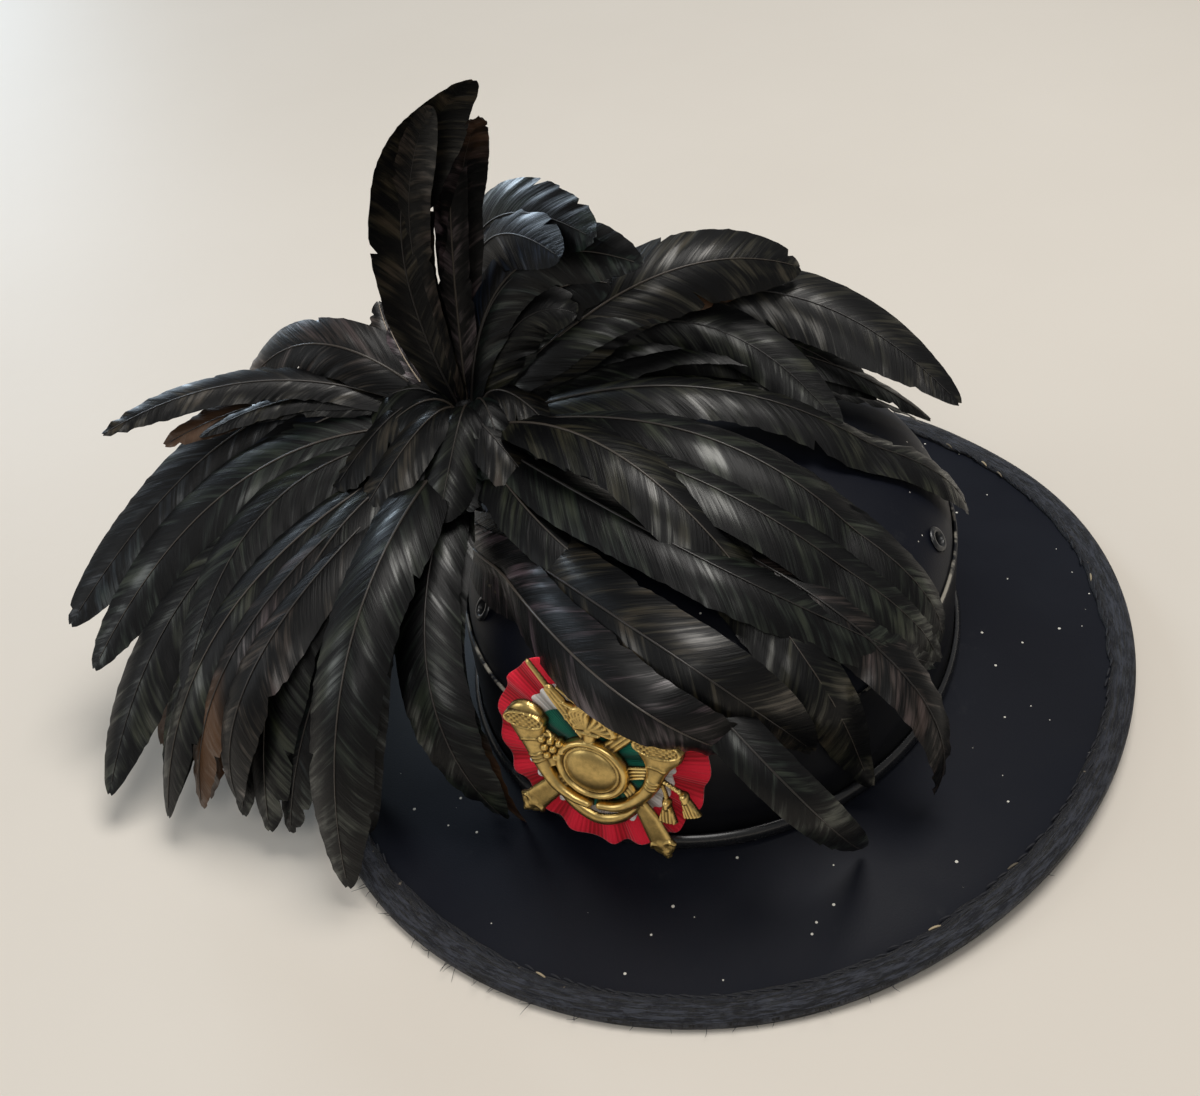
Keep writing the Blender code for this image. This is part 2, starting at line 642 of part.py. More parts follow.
def off_crown(point):
    """The point, or where it lies on the crown if it would be inside it."""
    grow = FELT_WALL + BAND_WALL + CROWN_CLEARANCE
    width, length = HEAD_HALF_WIDTH + grow, HEAD_HALF_LENGTH + grow
    rise = max(0.0, point.z - SIDE_HEIGHT) / (DOME_HEIGHT + CROWN_CLEARANCE)
    inside = math.sqrt((point.x / width) ** 2 + (point.y / length) ** 2 + rise**2)
    if inside >= 1:
        return point
    centre = Vector((0, 0, min(point.z, SIDE_HEIGHT)))
    return centre + (point - centre) / max(inside, 0.2)


def vane_side(point, along, heading):
    """Which way a vane spreads: level across its heading, or flat to the crown where it is near."""
    width, length = band_outside()
    rise = max(0.0, point.z - SIDE_HEIGHT)
    off = math.sqrt((point.x / width) ** 2 + (point.y / length) ** 2 + (rise / DOME_HEIGHT) ** 2) - 1
    out = Vector((point.x / width**2, point.y / length**2, rise / DOME_HEIGHT**2)).normalized()
    hug = ease(clamp(1 - off / HUG_REACH))
    level = Vector((-math.sin(heading), math.cos(heading), 0))
    side = level.lerp(out.cross(along), hug)
    return (side - along * side.dot(along)).normalized()


def from_root(heading, reach, height):
    turn = math.radians(heading)
    root = plume_root()
    level = reach * FEATHER_REACH
    return Vector((root.x + level * math.cos(turn), root.y + level * math.sin(turn), height * PLUME_HEIGHT))


def feather_path(row, steps):
    """Points along a feather's shaft: one arc from the plume's head through its middle to its tip."""
    middle = from_root(*row[0:3])
    tip = from_root(*row[3:6])
    start = plume_root()
    start += (middle - start).normalized() * PLUME_HEAD * 0.4
    handle = 2 * middle - (start + tip) / 2
    path = []
    for i in range(steps + 1):
        share = i / steps
        point = start * (1 - share) ** 2 + handle * 2 * share * (1 - share) + tip * share**2
        path.append(off_crown(point))
    return path


def vane_width(share):
    """Width of a feather along its length, as a share of its widest: narrow quill, full vane, point."""
    return 0.16 + 0.84 * math.sin(math.pi * share**0.8) ** 0.7 if share < 0.98 else 0.08


def feather(name, row):
    """A vane of diamond section along the shaft."""
    path = feather_path(row, FEATHER_STEPS)
    rings = []
    for i, point in enumerate(path):
        along = (path[min(i + 1, len(path) - 1)] - path[max(i - 1, 0)]).normalized()
        side = Matrix.Rotation(math.radians(row[7]), 3, along) @ vane_side(point, along, math.radians(row[3]))
        face = along.cross(side)
        half = vane_width(i / FEATHER_STEPS) * row[6] * FEATHER_WIDTH / 2
        thick = FEATHER_THICKNESS / 2 * (1 + QUILL_SWELL * (1 - i / FEATHER_STEPS) ** 3)
        rings.append([point + side * half, point + face * thick, point - side * half, point - face * thick])
    return loft(name, rings)


def make_plume(parts, cutters):
    """Feathers fused to the head that holds their quills, on a stem that stands in the socket."""
    strips = bpy.data.collections.new("plume_strips")
    cutters.children.link(strips)
    foot = socket_place()
    root = plume_root()
    inner = SOCKET_RADIUS - SOCKET_WALL - GAP
    stem = [
        # height share from the socket's floor to the root, radius
        (0.0, inner), (0.45, inner), (0.55, inner * 0.9), (0.80, PLUME_HEAD * 0.8), (1.0, PLUME_HEAD),
        (1.10, PLUME_HEAD * 0.7), (1.16, PLUME_HEAD * 0.3),
    ]
    floor = SOCKET_BOTTOM + SOCKET_WALL + GAP
    rings = []
    for share, radius in stem:
        lean = ease(clamp((share - 0.45) / 0.55))
        centre = Vector((
            foot.x + (root.x - foot.x) * lean, foot.y, floor + (PLUME_ROOT_HEIGHT - floor) * share
        ))
        ring = []
        for i in range(SOCKET_SIDES):
            turn = math.tau * i / SOCKET_SIDES
            ring.append(centre + Vector((radius * math.cos(turn), radius * math.sin(turn), 0)))
        rings.append(ring)
    plume = add("plume", loft("plume", rings), parts, material("cock_feather", (0.010, 0.012, 0.012), 0.4))
    for i, row in enumerate(FEATHERS):
        add(f"feather_{i + 1}", feather(f"feather_{i + 1}", row), strips)
    modifier(plume, "BOOLEAN", operation="UNION", solver="EXACT", operand_type="COLLECTION",
             collection=strips)
    without_pockets(plume)


def strap_points():
    """The strap's middle line: up inside the crown, flat on the surface round its route, and up again."""
    level = STRAP_THICKNESS / 2
    wall = HEAD_HALF_WIDTH - STRAP_WALL_CLEARANCE - STRAP_THICKNESS / 2
    bend = 2.5 * STRAP_THICKNESS
    points = [Vector((-wall, 0, level + STRAP_TAB)), Vector((-wall, 0, level + bend)),
              Vector((-wall - bend, 0, level))]
    for x, y in STRAP_ROUTE:
        points.append(Vector((x * BRIM_HALF_WIDTH, y * BRIM_HALF_LENGTH, level)))
    points += [Vector((wall - bend, 0, level)), Vector((wall, 0, level + bend)),
               Vector((wall, 0, level + STRAP_TAB))]
    return points


def rounded(points, steps):
    """A smooth curve through the points."""
    curve = []
    last = len(points) - 1
    for i in range(last):
        before, start = points[max(i - 1, 0)], points[i]
        end, after = points[i + 1], points[min(i + 2, last)]
        for step in range(steps):
            share = step / steps
            curve.append(0.5 * (
                2 * start + (end - before) * share + (2 * before - 5 * start + 4 * end - after) * share**2
                + (3 * start - before - 3 * end + after) * share**3
            ))
    return curve + [points[-1]]


def make_strap(parts):
    path = rounded(strap_points(), 2)
    for point in path:
        point.z = max(point.z, STRAP_THICKNESS / 2)
    rings = []
    for i, point in enumerate(path):
        along = (path[min(i + 1, len(path) - 1)] - path[max(i - 1, 0)]).normalized()
        flat = Vector((along.x, along.y, 0))
        if flat.length < 0.3:
            flat = Vector((-1 if i < len(path) / 2 else 1, 0, 0))
        side = Vector((-flat.y, flat.x, 0)).normalized()
        face = along.cross(side)
        half = side * STRAP_WIDTH / 2
        thick = face * STRAP_THICKNESS / 2
        rings.append([point + half + thick, point - half + thick, point - half - thick, point + half - thick])
    mesh = loft("chin_strap", rings)
    add("chin_strap", mesh, parts, material("strap_leather", (0.007, 0.007, 0.008), 0.3))


def main():
    clear_scene()
    parts = collection("plumed_military_hat")
    cutters = collection("cutters", hidden=True)
    make_felt(parts, cutters)
    make_binding(parts)
    make_band(parts)
    make_piping(parts)
    make_eyelets(parts)
    place = cockade_empty(parts)
    make_cockade(parts, place)
    make_badge(parts, cutters, place)
    make_socket(parts)
    make_plume(parts, cutters)
    make_strap(parts)


main()
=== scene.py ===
# %% [markdown]
# # A plumed military hat
# A hard black felt hat with an oval brim, a leather band, a ribbon cockade under a cast brass badge,
# a chin strap and a bunch of cock feathers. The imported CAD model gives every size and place. This
# lesson dresses it: each piece is rebuilt more finely on the same form, and gets its own finish.

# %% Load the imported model
import json
import math

import bmesh
import bpy
import numpy as np
from mathutils import Matrix, Vector

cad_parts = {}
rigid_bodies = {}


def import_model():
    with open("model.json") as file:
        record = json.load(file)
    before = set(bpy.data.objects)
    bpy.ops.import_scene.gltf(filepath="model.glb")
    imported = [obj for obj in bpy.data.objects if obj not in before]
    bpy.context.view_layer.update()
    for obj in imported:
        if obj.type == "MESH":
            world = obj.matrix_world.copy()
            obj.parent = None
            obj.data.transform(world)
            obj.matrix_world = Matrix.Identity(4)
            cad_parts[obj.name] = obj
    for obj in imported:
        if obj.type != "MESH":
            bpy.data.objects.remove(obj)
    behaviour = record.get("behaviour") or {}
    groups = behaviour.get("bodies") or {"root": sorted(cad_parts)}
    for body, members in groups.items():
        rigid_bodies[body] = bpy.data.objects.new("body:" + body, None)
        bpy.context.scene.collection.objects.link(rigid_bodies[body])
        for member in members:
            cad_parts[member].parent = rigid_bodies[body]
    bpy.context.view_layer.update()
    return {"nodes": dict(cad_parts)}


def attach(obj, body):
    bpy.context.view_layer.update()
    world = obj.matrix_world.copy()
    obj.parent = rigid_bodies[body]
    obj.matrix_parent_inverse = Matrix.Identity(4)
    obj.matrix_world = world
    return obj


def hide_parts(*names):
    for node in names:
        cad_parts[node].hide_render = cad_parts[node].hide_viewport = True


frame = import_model()
print("CAD nodes:", ", ".join(sorted(frame["nodes"])))

# %% [markdown]
# ## The camera
# The photo was taken with a phone, from in front of the hat, a little to the wearer's left and about
# 40 degrees above the floor. A camera in Blender looks along its own -Z, so we build its three axes
# from those angles and the small roll of the hand that held it.

# %% Camera
AZIMUTH, ELEVATION, ROLL = math.radians(25.8), math.radians(40.3), math.radians(-8.0)
AIM = Vector((-0.06835, 0.04900, 0.0))
DISTANCE = 0.6816

heading = Matrix.Rotation(AZIMUTH, 3, "Z")
across, back = heading @ Vector((1, 0, 0)), heading @ Vector((0, -math.cos(ELEVATION), math.sin(ELEVATION)))
upward = back.cross(across)
across, upward = (across * math.cos(ROLL) + upward * math.sin(ROLL),
                  upward * math.cos(ROLL) - across * math.sin(ROLL))
lens = bpy.data.cameras.new("photo_camera")
lens.sensor_fit, lens.sensor_width, lens.lens = "HORIZONTAL", 36.0, 48.0
lens.clip_start, lens.clip_end = 0.02, 30.0
camera = bpy.data.objects.new("photo_camera", lens)
bpy.context.scene.collection.objects.link(camera)
camera.matrix_world = Matrix.Translation(AIM + back * DISTANCE) @ Matrix(
    (across, upward, back)).transposed().to_4x4()
bpy.context.scene.camera = camera
print("camera at", [round(v, 3) for v in camera.location])

# %% [markdown]
# ## Shader maths that reads like Python
# A finish is a graph of small nodes. We wrap an output of a node in a class whose + - * / make the
# Math nodes, so a mask is written as an expression. Every other node comes from one method.

# %% A wire
class Wire:
    """One output of a shader node. Arithmetic on it adds Math nodes."""

    def __init__(self, finish, socket):
        self.finish, self.socket = finish, socket

    def maths(self, operation, *values):
        return self.finish.add("ShaderNodeMath", {"operation": operation}, dict(enumerate(values)))

    def __add__(self, other):
        return self.maths("ADD", self, other)

    def __sub__(self, other):
        return self.maths("SUBTRACT", self, other)

    def __rsub__(self, other):
        return self.maths("SUBTRACT", other, self)

    def __mul__(self, other):
        return self.maths("MULTIPLY", self, other)

    def __lt__(self, other):
        return self.maths("LESS_THAN", self, other)

    __radd__, __rmul__ = __add__, __mul__

    def sine(self):
        return self.maths("SINE", self)

    def between(self, low, high):
        """0 at low and 1 at high, with soft ends. Low may be the larger."""
        return self.finish.add("ShaderNodeMapRange", {"interpolation_type": "SMOOTHSTEP"},
                               {"Value": self, "From Min": low, "From Max": high})


# %% A finish
class Finish:
    """A material being put together round its Principled shader."""

    def __init__(self, name, **constants):
        self.material = bpy.data.materials.new(name)
        self.material.use_nodes = True
        self.tree = self.material.node_tree
        self.shader = self.tree.nodes["Principled BSDF"]
        self.surface(**constants)

    def add(self, kind, settings=None, values=None, output=0):
        node = self.tree.nodes.new(kind)
        for name, value in (settings or {}).items():
            if name == "stops":
                self.set_stops(node.color_ramp, value)
            else:
                setattr(node, name, value)
        for key, value in (values or {}).items():
            self.plug(node.inputs[key], value)
        return Wire(self, node.outputs[output])

    def set_stops(self, ramp, stops):
        while len(ramp.elements) < len(stops):
            ramp.elements.new(0.5)
        for element, (place, colour) in zip(ramp.elements, stops):
            element.position, element.color = place, (*colour, 1.0)

    def plug(self, socket, value):
        if isinstance(value, Wire):
            self.tree.links.new(value.socket, socket)
        elif socket.type == "RGBA":
            socket.default_value = (*value, 1.0)
        else:
            socket.default_value = value

    def surface(self, **values):
        for name, value in values.items():
            label = name.replace("_", " ").title().replace("Ior", "IOR")
            self.plug(self.shader.inputs[label], value)
        return self

    def mix(self, low, high, share):
        """A colour between two others."""
        return self.add("ShaderNodeMix", {"data_type": "RGBA"}, {0: share, 6: low, 7: high}, 2)

    def place(self):
        return self.add("ShaderNodeTexCoord", output=3)

    def stored(self, name):
        """A number that the mesh keeps at each point."""
        return self.add("ShaderNodeAttribute", {"attribute_name": name}, output=2)

    def stretched(self, x, y, z):
        return self.add("ShaderNodeCombineXYZ", None, {0: x, 1: y, 2: z})

    def noise(self, scale, detail=3.0, where=None, roughness=0.55):
        return self.add("ShaderNodeTexNoise", None, {
            "Vector": where or self.place(), "Scale": scale, "Detail": detail, "Roughness": roughness})

    def specks(self, scale, size, share):
        """Dots of dust: cells of a Voronoi texture, of which only some hold a dot."""
        cells = {"Vector": self.place(), "Scale": scale}
        far = self.add("ShaderNodeTexVoronoi", None, cells)
        chosen = self.add("ShaderNodeTexVoronoi", None, cells, 1)
        red = self.add("ShaderNodeSeparateColor", None, {0: chosen})
        green = self.add("ShaderNodeSeparateColor", None, {0: chosen}, 1)
        return (far < green * size) * (red < share)

    def bump(self, height, strength, distance):
        return self.add("ShaderNodeBump", None,
                        {"Height": height, "Strength": strength, "Distance": distance})


# %% [markdown]
# ## Floor and light
# The hat lies on a pale painted floor under wide, soft light from above and behind. Large area
# lights give black feathers and felt the broad faint highlights by which their form is read.

# %% Floor
painted = Finish("pale_floor", roughness=0.42, specular_ior_level=0.07)
cloud = painted.noise(3.0, 4.0)
grit = painted.noise(120.0, 3.0)
painted.surface(base_color=painted.mix((0.68, 0.63, 0.56), (0.77, 0.72, 0.65), cloud),
                normal=painted.bump(grit, 0.15, 0.0005))
floor_mesh = bpy.data.meshes.new("floor")
FLOOR_HALF = 6
floor_corners = [(FLOOR_HALF * x, FLOOR_HALF * y, 0) for x, y in ((-1, -1), (1, -1), (1, 1), (-1, 1))]
floor_mesh.from_pydata(floor_corners, [], [(0, 1, 2, 3)])
floor_mesh.materials.append(painted.material)
floor = bpy.data.objects.new("floor", floor_mesh)
bpy.context.scene.collection.objects.link(floor)
print("floor, m across:", 2 * FLOOR_HALF)


# %% Lights and world
def soft_light(name, place, size, power, colour):
    """A wide area light aimed at the crown."""
    lamp = bpy.data.lights.new(name, "AREA")
    lamp.shape, lamp.size, lamp.energy, lamp.color = "DISK", size, power, colour
    obj = bpy.data.objects.new(name, lamp)
    obj.location = place
    obj.rotation_euler = (Vector((0, 0, 0.05)) - Vector(place)).to_track_quat("-Z", "Y").to_euler()
    bpy.context.scene.collection.objects.link(obj)


LIGHTS = [
    # name, place in m, width in m, power in W, colour
    ("window_behind", (-2.55, 2.00, 0.95), 1.0, 34.0, (0.70, 0.85, 1.0)),
    ("ceiling", (0.25, 0.35, 1.9), 1.1, 24.0, (1.0, 0.97, 0.93)),
    ("left_fill", (-1.5, -0.9, 0.9), 1.0, 5.0, (0.95, 0.98, 1.0)),
    ("room_front", (0.35, -1.30, 1.55), 0.9, 7.0, (1.0, 0.98, 0.95)),
]
for light in LIGHTS:
    soft_light(*light)
print("lights:", len(LIGHTS))
world = bpy.data.worlds.new("room")
world.use_nodes = True
room_air = world.node_tree.nodes["Background"]
room_air.inputs["Color"].default_value = (0.80, 0.79, 0.77, 1.0)
room_air.inputs["Strength"].default_value = 0.26
bpy.context.scene.world = world
bpy.context.scene.view_settings.view_transform = "Standard"

# %% [markdown]
# ## From points to a piece
# Most pieces here are nets of points: rows that follow a piece and columns that go round it.

# %% Nets of points
def net_faces(rows, columns, rows_close=False, columns_close=False):
    """Four-sided faces of a net, as numbers of its points."""
    i, j = np.meshgrid(np.arange(rows if rows_close else rows - 1),
                       np.arange(columns if columns_close else columns - 1), indexing="ij")
    i2, j2 = (i + 1) % rows, (j + 1) % columns
    corners = [i * columns + j, i * columns + j2, i2 * columns + j2, i2 * columns + j]
    return np.stack(corners, -1).reshape(-1, 4)


# %% From a net to a piece
def piece(name, points, faces, finish, slot, stands_for=(), **kept):
    """An object on the root body, with the kept numbers stored at its points."""
    mesh = bpy.data.meshes.new(name)
    mesh.from_pydata(np.asarray(points).reshape(-1, 3).tolist(), [], [list(face) for face in faces])
    for label, values in kept.items():
        layer = mesh.attributes.new(label, "FLOAT", "POINT")
        layer.data.foreach_set("value", np.asarray(values, np.float32).ravel())
    mesh.materials.append(finish.material)
    mesh.shade_smooth()
    obj = bpy.data.objects.new(name, mesh)
    bpy.context.scene.collection.objects.link(obj)
    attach(obj, "root")
    if stands_for:
        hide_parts(*stands_for)
    return obj


# %% Small helpers
def modifier(obj, kind, **settings):
    made = obj.modifiers.new(kind.title(), kind)
    for name, value in settings.items():
        setattr(made, name, value)


def ease(share):
    """0 to 1 with soft ends."""
    share = np.clip(share, 0.0, 1.0)
    return share * share * (3 - 2 * share)


def wobble(angle, seed, waves=9):
    """A smooth uneven line round a ring, between about -1 and 1. Whole waves, so its ends meet."""
    rng = np.random.default_rng(seed)
    total = np.zeros_like(angle)
    for k in range(1, waves + 1):
        total += rng.normal() * np.sin(k * angle + rng.uniform(0, math.tau)) / math.sqrt(waves)
    return total


# %% [markdown]
# ## The felt body
# Crown and brim are one piece of stiffened fur felt, steamed over a block: a straight-sided oval
# crown under a low dome, and a brim that falls from its foot and curls up a little beside the head.
# We carry one outer profile round the oval, then give it its wall with Solidify, as in the CAD.

# %% Sizes of the felt, in m
WALL = 0.0025
FOOT_WIDTH, FOOT_LENGTH = 0.0841 + WALL, 0.1001 + WALL
RIM_WIDTH, RIM_LENGTH = 0.1527, 0.1667
SIDE_TOP, DOME = 0.056, 0.043
BRIM_BASE, BRIM_RISE = 0.0038, 0.0085
CROWN_FOOT = BRIM_BASE + BRIM_RISE
RIM_CURL = 0.0055
BINDING_WIDTH = 0.009
ROUND = 240
turn = np.linspace(0, math.tau, ROUND, endpoint=False)
print("brim, m:", 2 * RIM_WIDTH, "by", 2 * RIM_LENGTH)


# %% Rings of the felt
def rim_lift(angle):
    """How far the rim curls up: not at all in front and behind, and most beside the head."""
    start = math.cos(math.radians(66))
    return RIM_CURL * ease((np.abs(np.cos(angle)) - start) / (1 - start))


def brim_breadth(angle):
    return np.hypot((RIM_WIDTH - FOOT_WIDTH) * np.cos(angle), (RIM_LENGTH - FOOT_LENGTH) * np.sin(angle))


def brim(angle, inset):
    """Points on top of the brim, this far in from the rim."""
    breadth = brim_breadth(angle)
    out = 1 - inset / breadth
    slope = np.maximum(0.0, 1 - out / (1 - BINDING_WIDTH / breadth)) ** 1.5
    height = BRIM_BASE + BRIM_RISE * slope + rim_lift(angle) * np.maximum(0.0, out) ** 1.5
    return np.stack([(FOOT_WIDTH + (RIM_WIDTH - FOOT_WIDTH) * out) * np.cos(angle),
                     (FOOT_LENGTH + (RIM_LENGTH - FOOT_LENGTH) * out) * np.sin(angle), height], -1)


def oval(width, length, height):
    """A level ring of points."""
    ring = np.zeros((ROUND, 3))
    ring[:, 0], ring[:, 1], ring[:, 2] = width * np.cos(turn), length * np.sin(turn), height
    return ring


def felt_profile():
    """Rings from the rim to the top of the crown, with the brim's slight waves."""
    breadth = brim_breadth(turn)
    rings = []
    for share in np.concatenate([[0, 0.03, 0.06], np.linspace(0.11, 0.97, 18)]):
        ring = brim(turn, breadth * share)
        swell = math.sin(math.pi * min(1, max(0, (share - 0.12) / 0.8)))
        ring[:, 2] += 0.0005 * swell * wobble(turn, 3, 6)
        rings.append(ring)
    for height in np.linspace(CROWN_FOOT + 0.0008, SIDE_TOP, 8):
        rings.append(oval(FOOT_WIDTH, FOOT_LENGTH, height))
    for rise in np.radians(np.linspace(0, 88, 19)[1:]):
        dent = 1 + 0.0022 * math.sin(2 * rise) * wobble(turn, 8, 5)[:, None]
        level = SIDE_TOP + DOME * math.sin(rise)
        ring = oval(FOOT_WIDTH * math.cos(rise), FOOT_LENGTH * math.cos(rise), level)
        rings.append(ring * np.concatenate([dent, dent, np.ones_like(dent)], 1))
    return rings


# %% Felt finish and piece
felt = Finish("black_felt_fine", sheen_weight=0.02, sheen_roughness=0.5, specular_ior_level=0.17)
rub = felt.noise(9.0, 4.0).between(0.42, 0.72)
nap = felt.noise(1400.0, 2.0)
dust = felt.specks(75.0, 0.050, 0.45) + felt.specks(260.0, 0.15, 0.16)
smudge = felt.noise(34.0, 5.0, roughness=0.7).between(0.60, 0.80)
cloth = felt.mix((0.0010, 0.0020, 0.0068), (0.0046, 0.0062, 0.0120), rub)
cloth = felt.mix(cloth, (0.034, 0.035, 0.037), smudge * 0.5)
felt.surface(base_color=felt.mix(cloth, (0.62, 0.60, 0.54), dust.between(0.0, 1.0)),
             roughness=0.50 + 0.22 * rub, normal=felt.bump(nap, 0.35, 0.00015))

rings = felt_profile()
net = np.concatenate(rings + [np.array([[0, 0, SIDE_TOP + DOME]])])
faces = net_faces(len(rings), ROUND, columns_close=True).tolist()
last = (len(rings) - 1) * ROUND
faces += [(last + i, last + (i + 1) % ROUND, len(net) - 1) for i in range(ROUND)]
hat_felt = piece("hat_felt", net, faces, felt, "black_felt", ["felt_body"])
modifier(hat_felt, "SOLIDIFY", thickness=WALL, offset=-1, use_even_offset=True)
print("felt rings:", len(rings), "of", ROUND, "points")

# %% [markdown]
# ## Eyelets
# Four air holes, each with a black enamelled eyelet: a rolled ring outside, a short tube through the
# felt and a smaller ring inside. They are turned shapes, so a short profile is swept round an axis,
# and a plain cutter opens the felt for each.

# %% Eyelet finish and section
enamel = Finish("black_enamel_fine", roughness=0.30, specular_ior_level=0.6)
chipped = enamel.noise(700.0, 3.0).between(0.58, 0.70)
enamel.surface(base_color=enamel.mix((0.010, 0.011, 0.013), (0.075, 0.073, 0.070), chipped))
EYELET_HEADINGS, EYELET_LEVEL, HOLE_RADIUS = (4, -42, 176, 222), 0.070, 0.0033
EYELET_SECTION = [
    # radius and height over the felt, in mm
    (2.50, 0.85), (2.9, 1.15), (3.6, 1.2), (4.3, 0.95), (4.75, 0.5), (4.8, 0.3), (3.2, 0.3), (3.2, -4.1),
    (4.3, -4.1), (4.25, -4.6), (3.0, -4.8), (2.5, -4.6), (2.5, -2.0),
]


def eyelet_seat(degrees):
    """Place and outward direction of an eyelet on the dome."""
    angle, over_side = math.radians(degrees), EYELET_LEVEL - SIDE_TOP
    width, length = (size * math.cos(math.asin(over_side / DOME)) for size in (FOOT_WIDTH, FOOT_LENGTH))
    spot = Vector((width * math.cos(angle), length * math.sin(angle), EYELET_LEVEL))
    out = Vector((spot.x / FOOT_WIDTH**2, spot.y / FOOT_LENGTH**2, over_side / DOME**2))
    return Matrix.Translation(spot) @ out.to_track_quat("Z", "Y").to_matrix().to_4x4()


def turned(section, sides):
    """A closed section of radius, height swept round Z."""
    angle = np.linspace(0, math.tau, sides, endpoint=False)
    section = np.array(section)
    return np.stack([np.cos(angle)[:, None] * section[:, 0], np.sin(angle)[:, None] * section[:, 0],
                     np.broadcast_to(section[:, 1], (sides, len(section)))], -1)


# %% Eyelets, and a cutter for each
EYELET_SIDES = 40
for number, degrees in enumerate(EYELET_HEADINGS, 1):
    seat = np.array(eyelet_seat(degrees))
    ring = turned(EYELET_SECTION, EYELET_SIDES).reshape(-1, 3) / 1000
    faces = net_faces(EYELET_SIDES, len(EYELET_SECTION), True, True)
    piece(f"eyelet_ring_{number}", ring @ seat[:3, :3].T + seat[:3, 3], faces, enamel,
          "black_enamel", [f"eyelet_{number}"])
    cutter_mesh = bpy.data.meshes.new("eyelet_cutter")
    drill = bmesh.new()
    bmesh.ops.create_cone(drill, cap_ends=True, segments=32, radius1=HOLE_RADIUS, radius2=HOLE_RADIUS,
                          depth=0.012)
    drill.to_mesh(cutter_mesh)
    drill.free()
    cutter = bpy.data.objects.new(f"eyelet_cutter_{number}", cutter_mesh)
    cutter.matrix_world = Matrix(seat.tolist())
    bpy.context.scene.collection.objects.link(cutter)
    modifier(hat_felt, "BOOLEAN", operation="DIFFERENCE", solver="EXACT", object=cutter)


# %% Open the holes
def apply_modifiers(obj):
    """Keeps the shape that the modifiers give and removes them."""
    graph = bpy.context.evaluated_depsgraph_get()
    mesh = bpy.data.meshes.new_from_object(obj.evaluated_get(graph))
    obj.modifiers.clear()
    obj.data = mesh


apply_modifiers(hat_felt)
for cutter in [o for o in bpy.data.objects if o.name.startswith("eyelet_cutter")]:
    bpy.data.objects.remove(cutter, do_unlink=True)
hat_felt.data.shade_smooth()
hat_felt.data.set_sharp_from_angle(angle=math.radians(35))
print("felt with holes:", len(hat_felt.data.polygons), "faces")

# %% [markdown]
# ## The leather band and its piping
# A black leather strip stands round the crown. Its cut upper edge shows as one thin pale line: the raw
# edge's own colour together with a painted edge highlight. A narrow roll of patent leather, much glossier,
# hides its foot. Both are closed sections carried round the same oval, so each only needs a short list of
# section points.

# %% Leather band
def banded(name, section, finish, slot, stands_for, seed, waver=0.0):
    """A closed section of outward, height points carried round the crown."""
    rows = []
    for out, height in section:
        ring = oval(FOOT_WIDTH + out, FOOT_LENGTH + out, height)
        ring[:, 2] += waver * wobble(turn, seed, 7) * ease((height - 0.045) / 0.012)
        rows.append(ring)
    faces = net_faces(len(rows), ROUND, True, True)
    return piece(name, np.concatenate(rows), faces, finish, slot, stands_for)


leather = Finish("band_leather_fine", specular_ior_level=0.45)
height = leather.add("ShaderNodeSeparateXYZ", None, {0: leather.place()}, 2)
grain = leather.noise(520.0, 3.0)
worn = leather.noise(16.0, 4.0).between(0.5, 0.75)
# the pale line along the top edge is partly the raw cut edge and partly a painted edge highlight
cut_edge_and_highlight = height.between(0.05762, 0.05782) * leather.noise(130.0, 3.0).between(0.40, 0.56) * 0.8
hide = leather.mix((0.0016, 0.0020, 0.0045), (0.0052, 0.0060, 0.0090), worn)
leather.surface(base_color=leather.mix(hide, (0.36, 0.335, 0.28), cut_edge_and_highlight),
                roughness=0.42 + 0.2 * worn, normal=leather.bump(grain, 0.2, 0.0001))
BAND_SECTION = [
    # outward from the felt, height
    (0.0003, 0.0135), (0.0018, 0.0135), (0.0018, 0.0300), (0.0018, 0.0450), (0.0018, 0.0566),
    (0.00165, 0.0575), (0.0012, 0.0579), (0.0006, 0.0579), (0.0003, 0.0575), (0.0003, 0.0300),
]
banded("leather_band", BAND_SECTION, leather, "band_leather", ["crown_band"], 5, 0.00022)
print("band, mm high:", round((0.0579 - 0.0135) * 1000, 1))

# %% Piping
patent = Finish("patent_leather_fine", coat_weight=0.4, coat_roughness=0.12, specular_ior_level=0.6)
crease = patent.noise(60.0, 4.0)
patent.surface(base_color=patent.mix((0.004, 0.004, 0.005), (0.016, 0.017, 0.020), crease),
               roughness=0.16 + 0.22 * crease, normal=patent.bump(crease, 0.25, 0.0004))
PIPING_SECTION = [
    # outward from the felt, height
    (0.0021, 0.0126), (0.0034, 0.0126), (0.0042, 0.0133), (0.0045, 0.0148), (0.0044, 0.0162),
    (0.0038, 0.0175), (0.0030, 0.0183), (0.0023, 0.0186), (0.0021, 0.0170),
]
banded("glossy_piping", PIPING_SECTION, patent, "patent_leather", ["base_piping"], 6)
print("piping, points round its section:", len(PIPING_SECTION))

# %% [markdown]
# ## The binding of the brim
# A ribbon is folded over the edge of the brim and sewn through. Years of handling have rubbed it
# grey along the fold, its stitched edge is lumpy, and threads have come loose at the front. The
# ribbon is a closed section whose inset varies round the hat; stitches and threads are small extras.

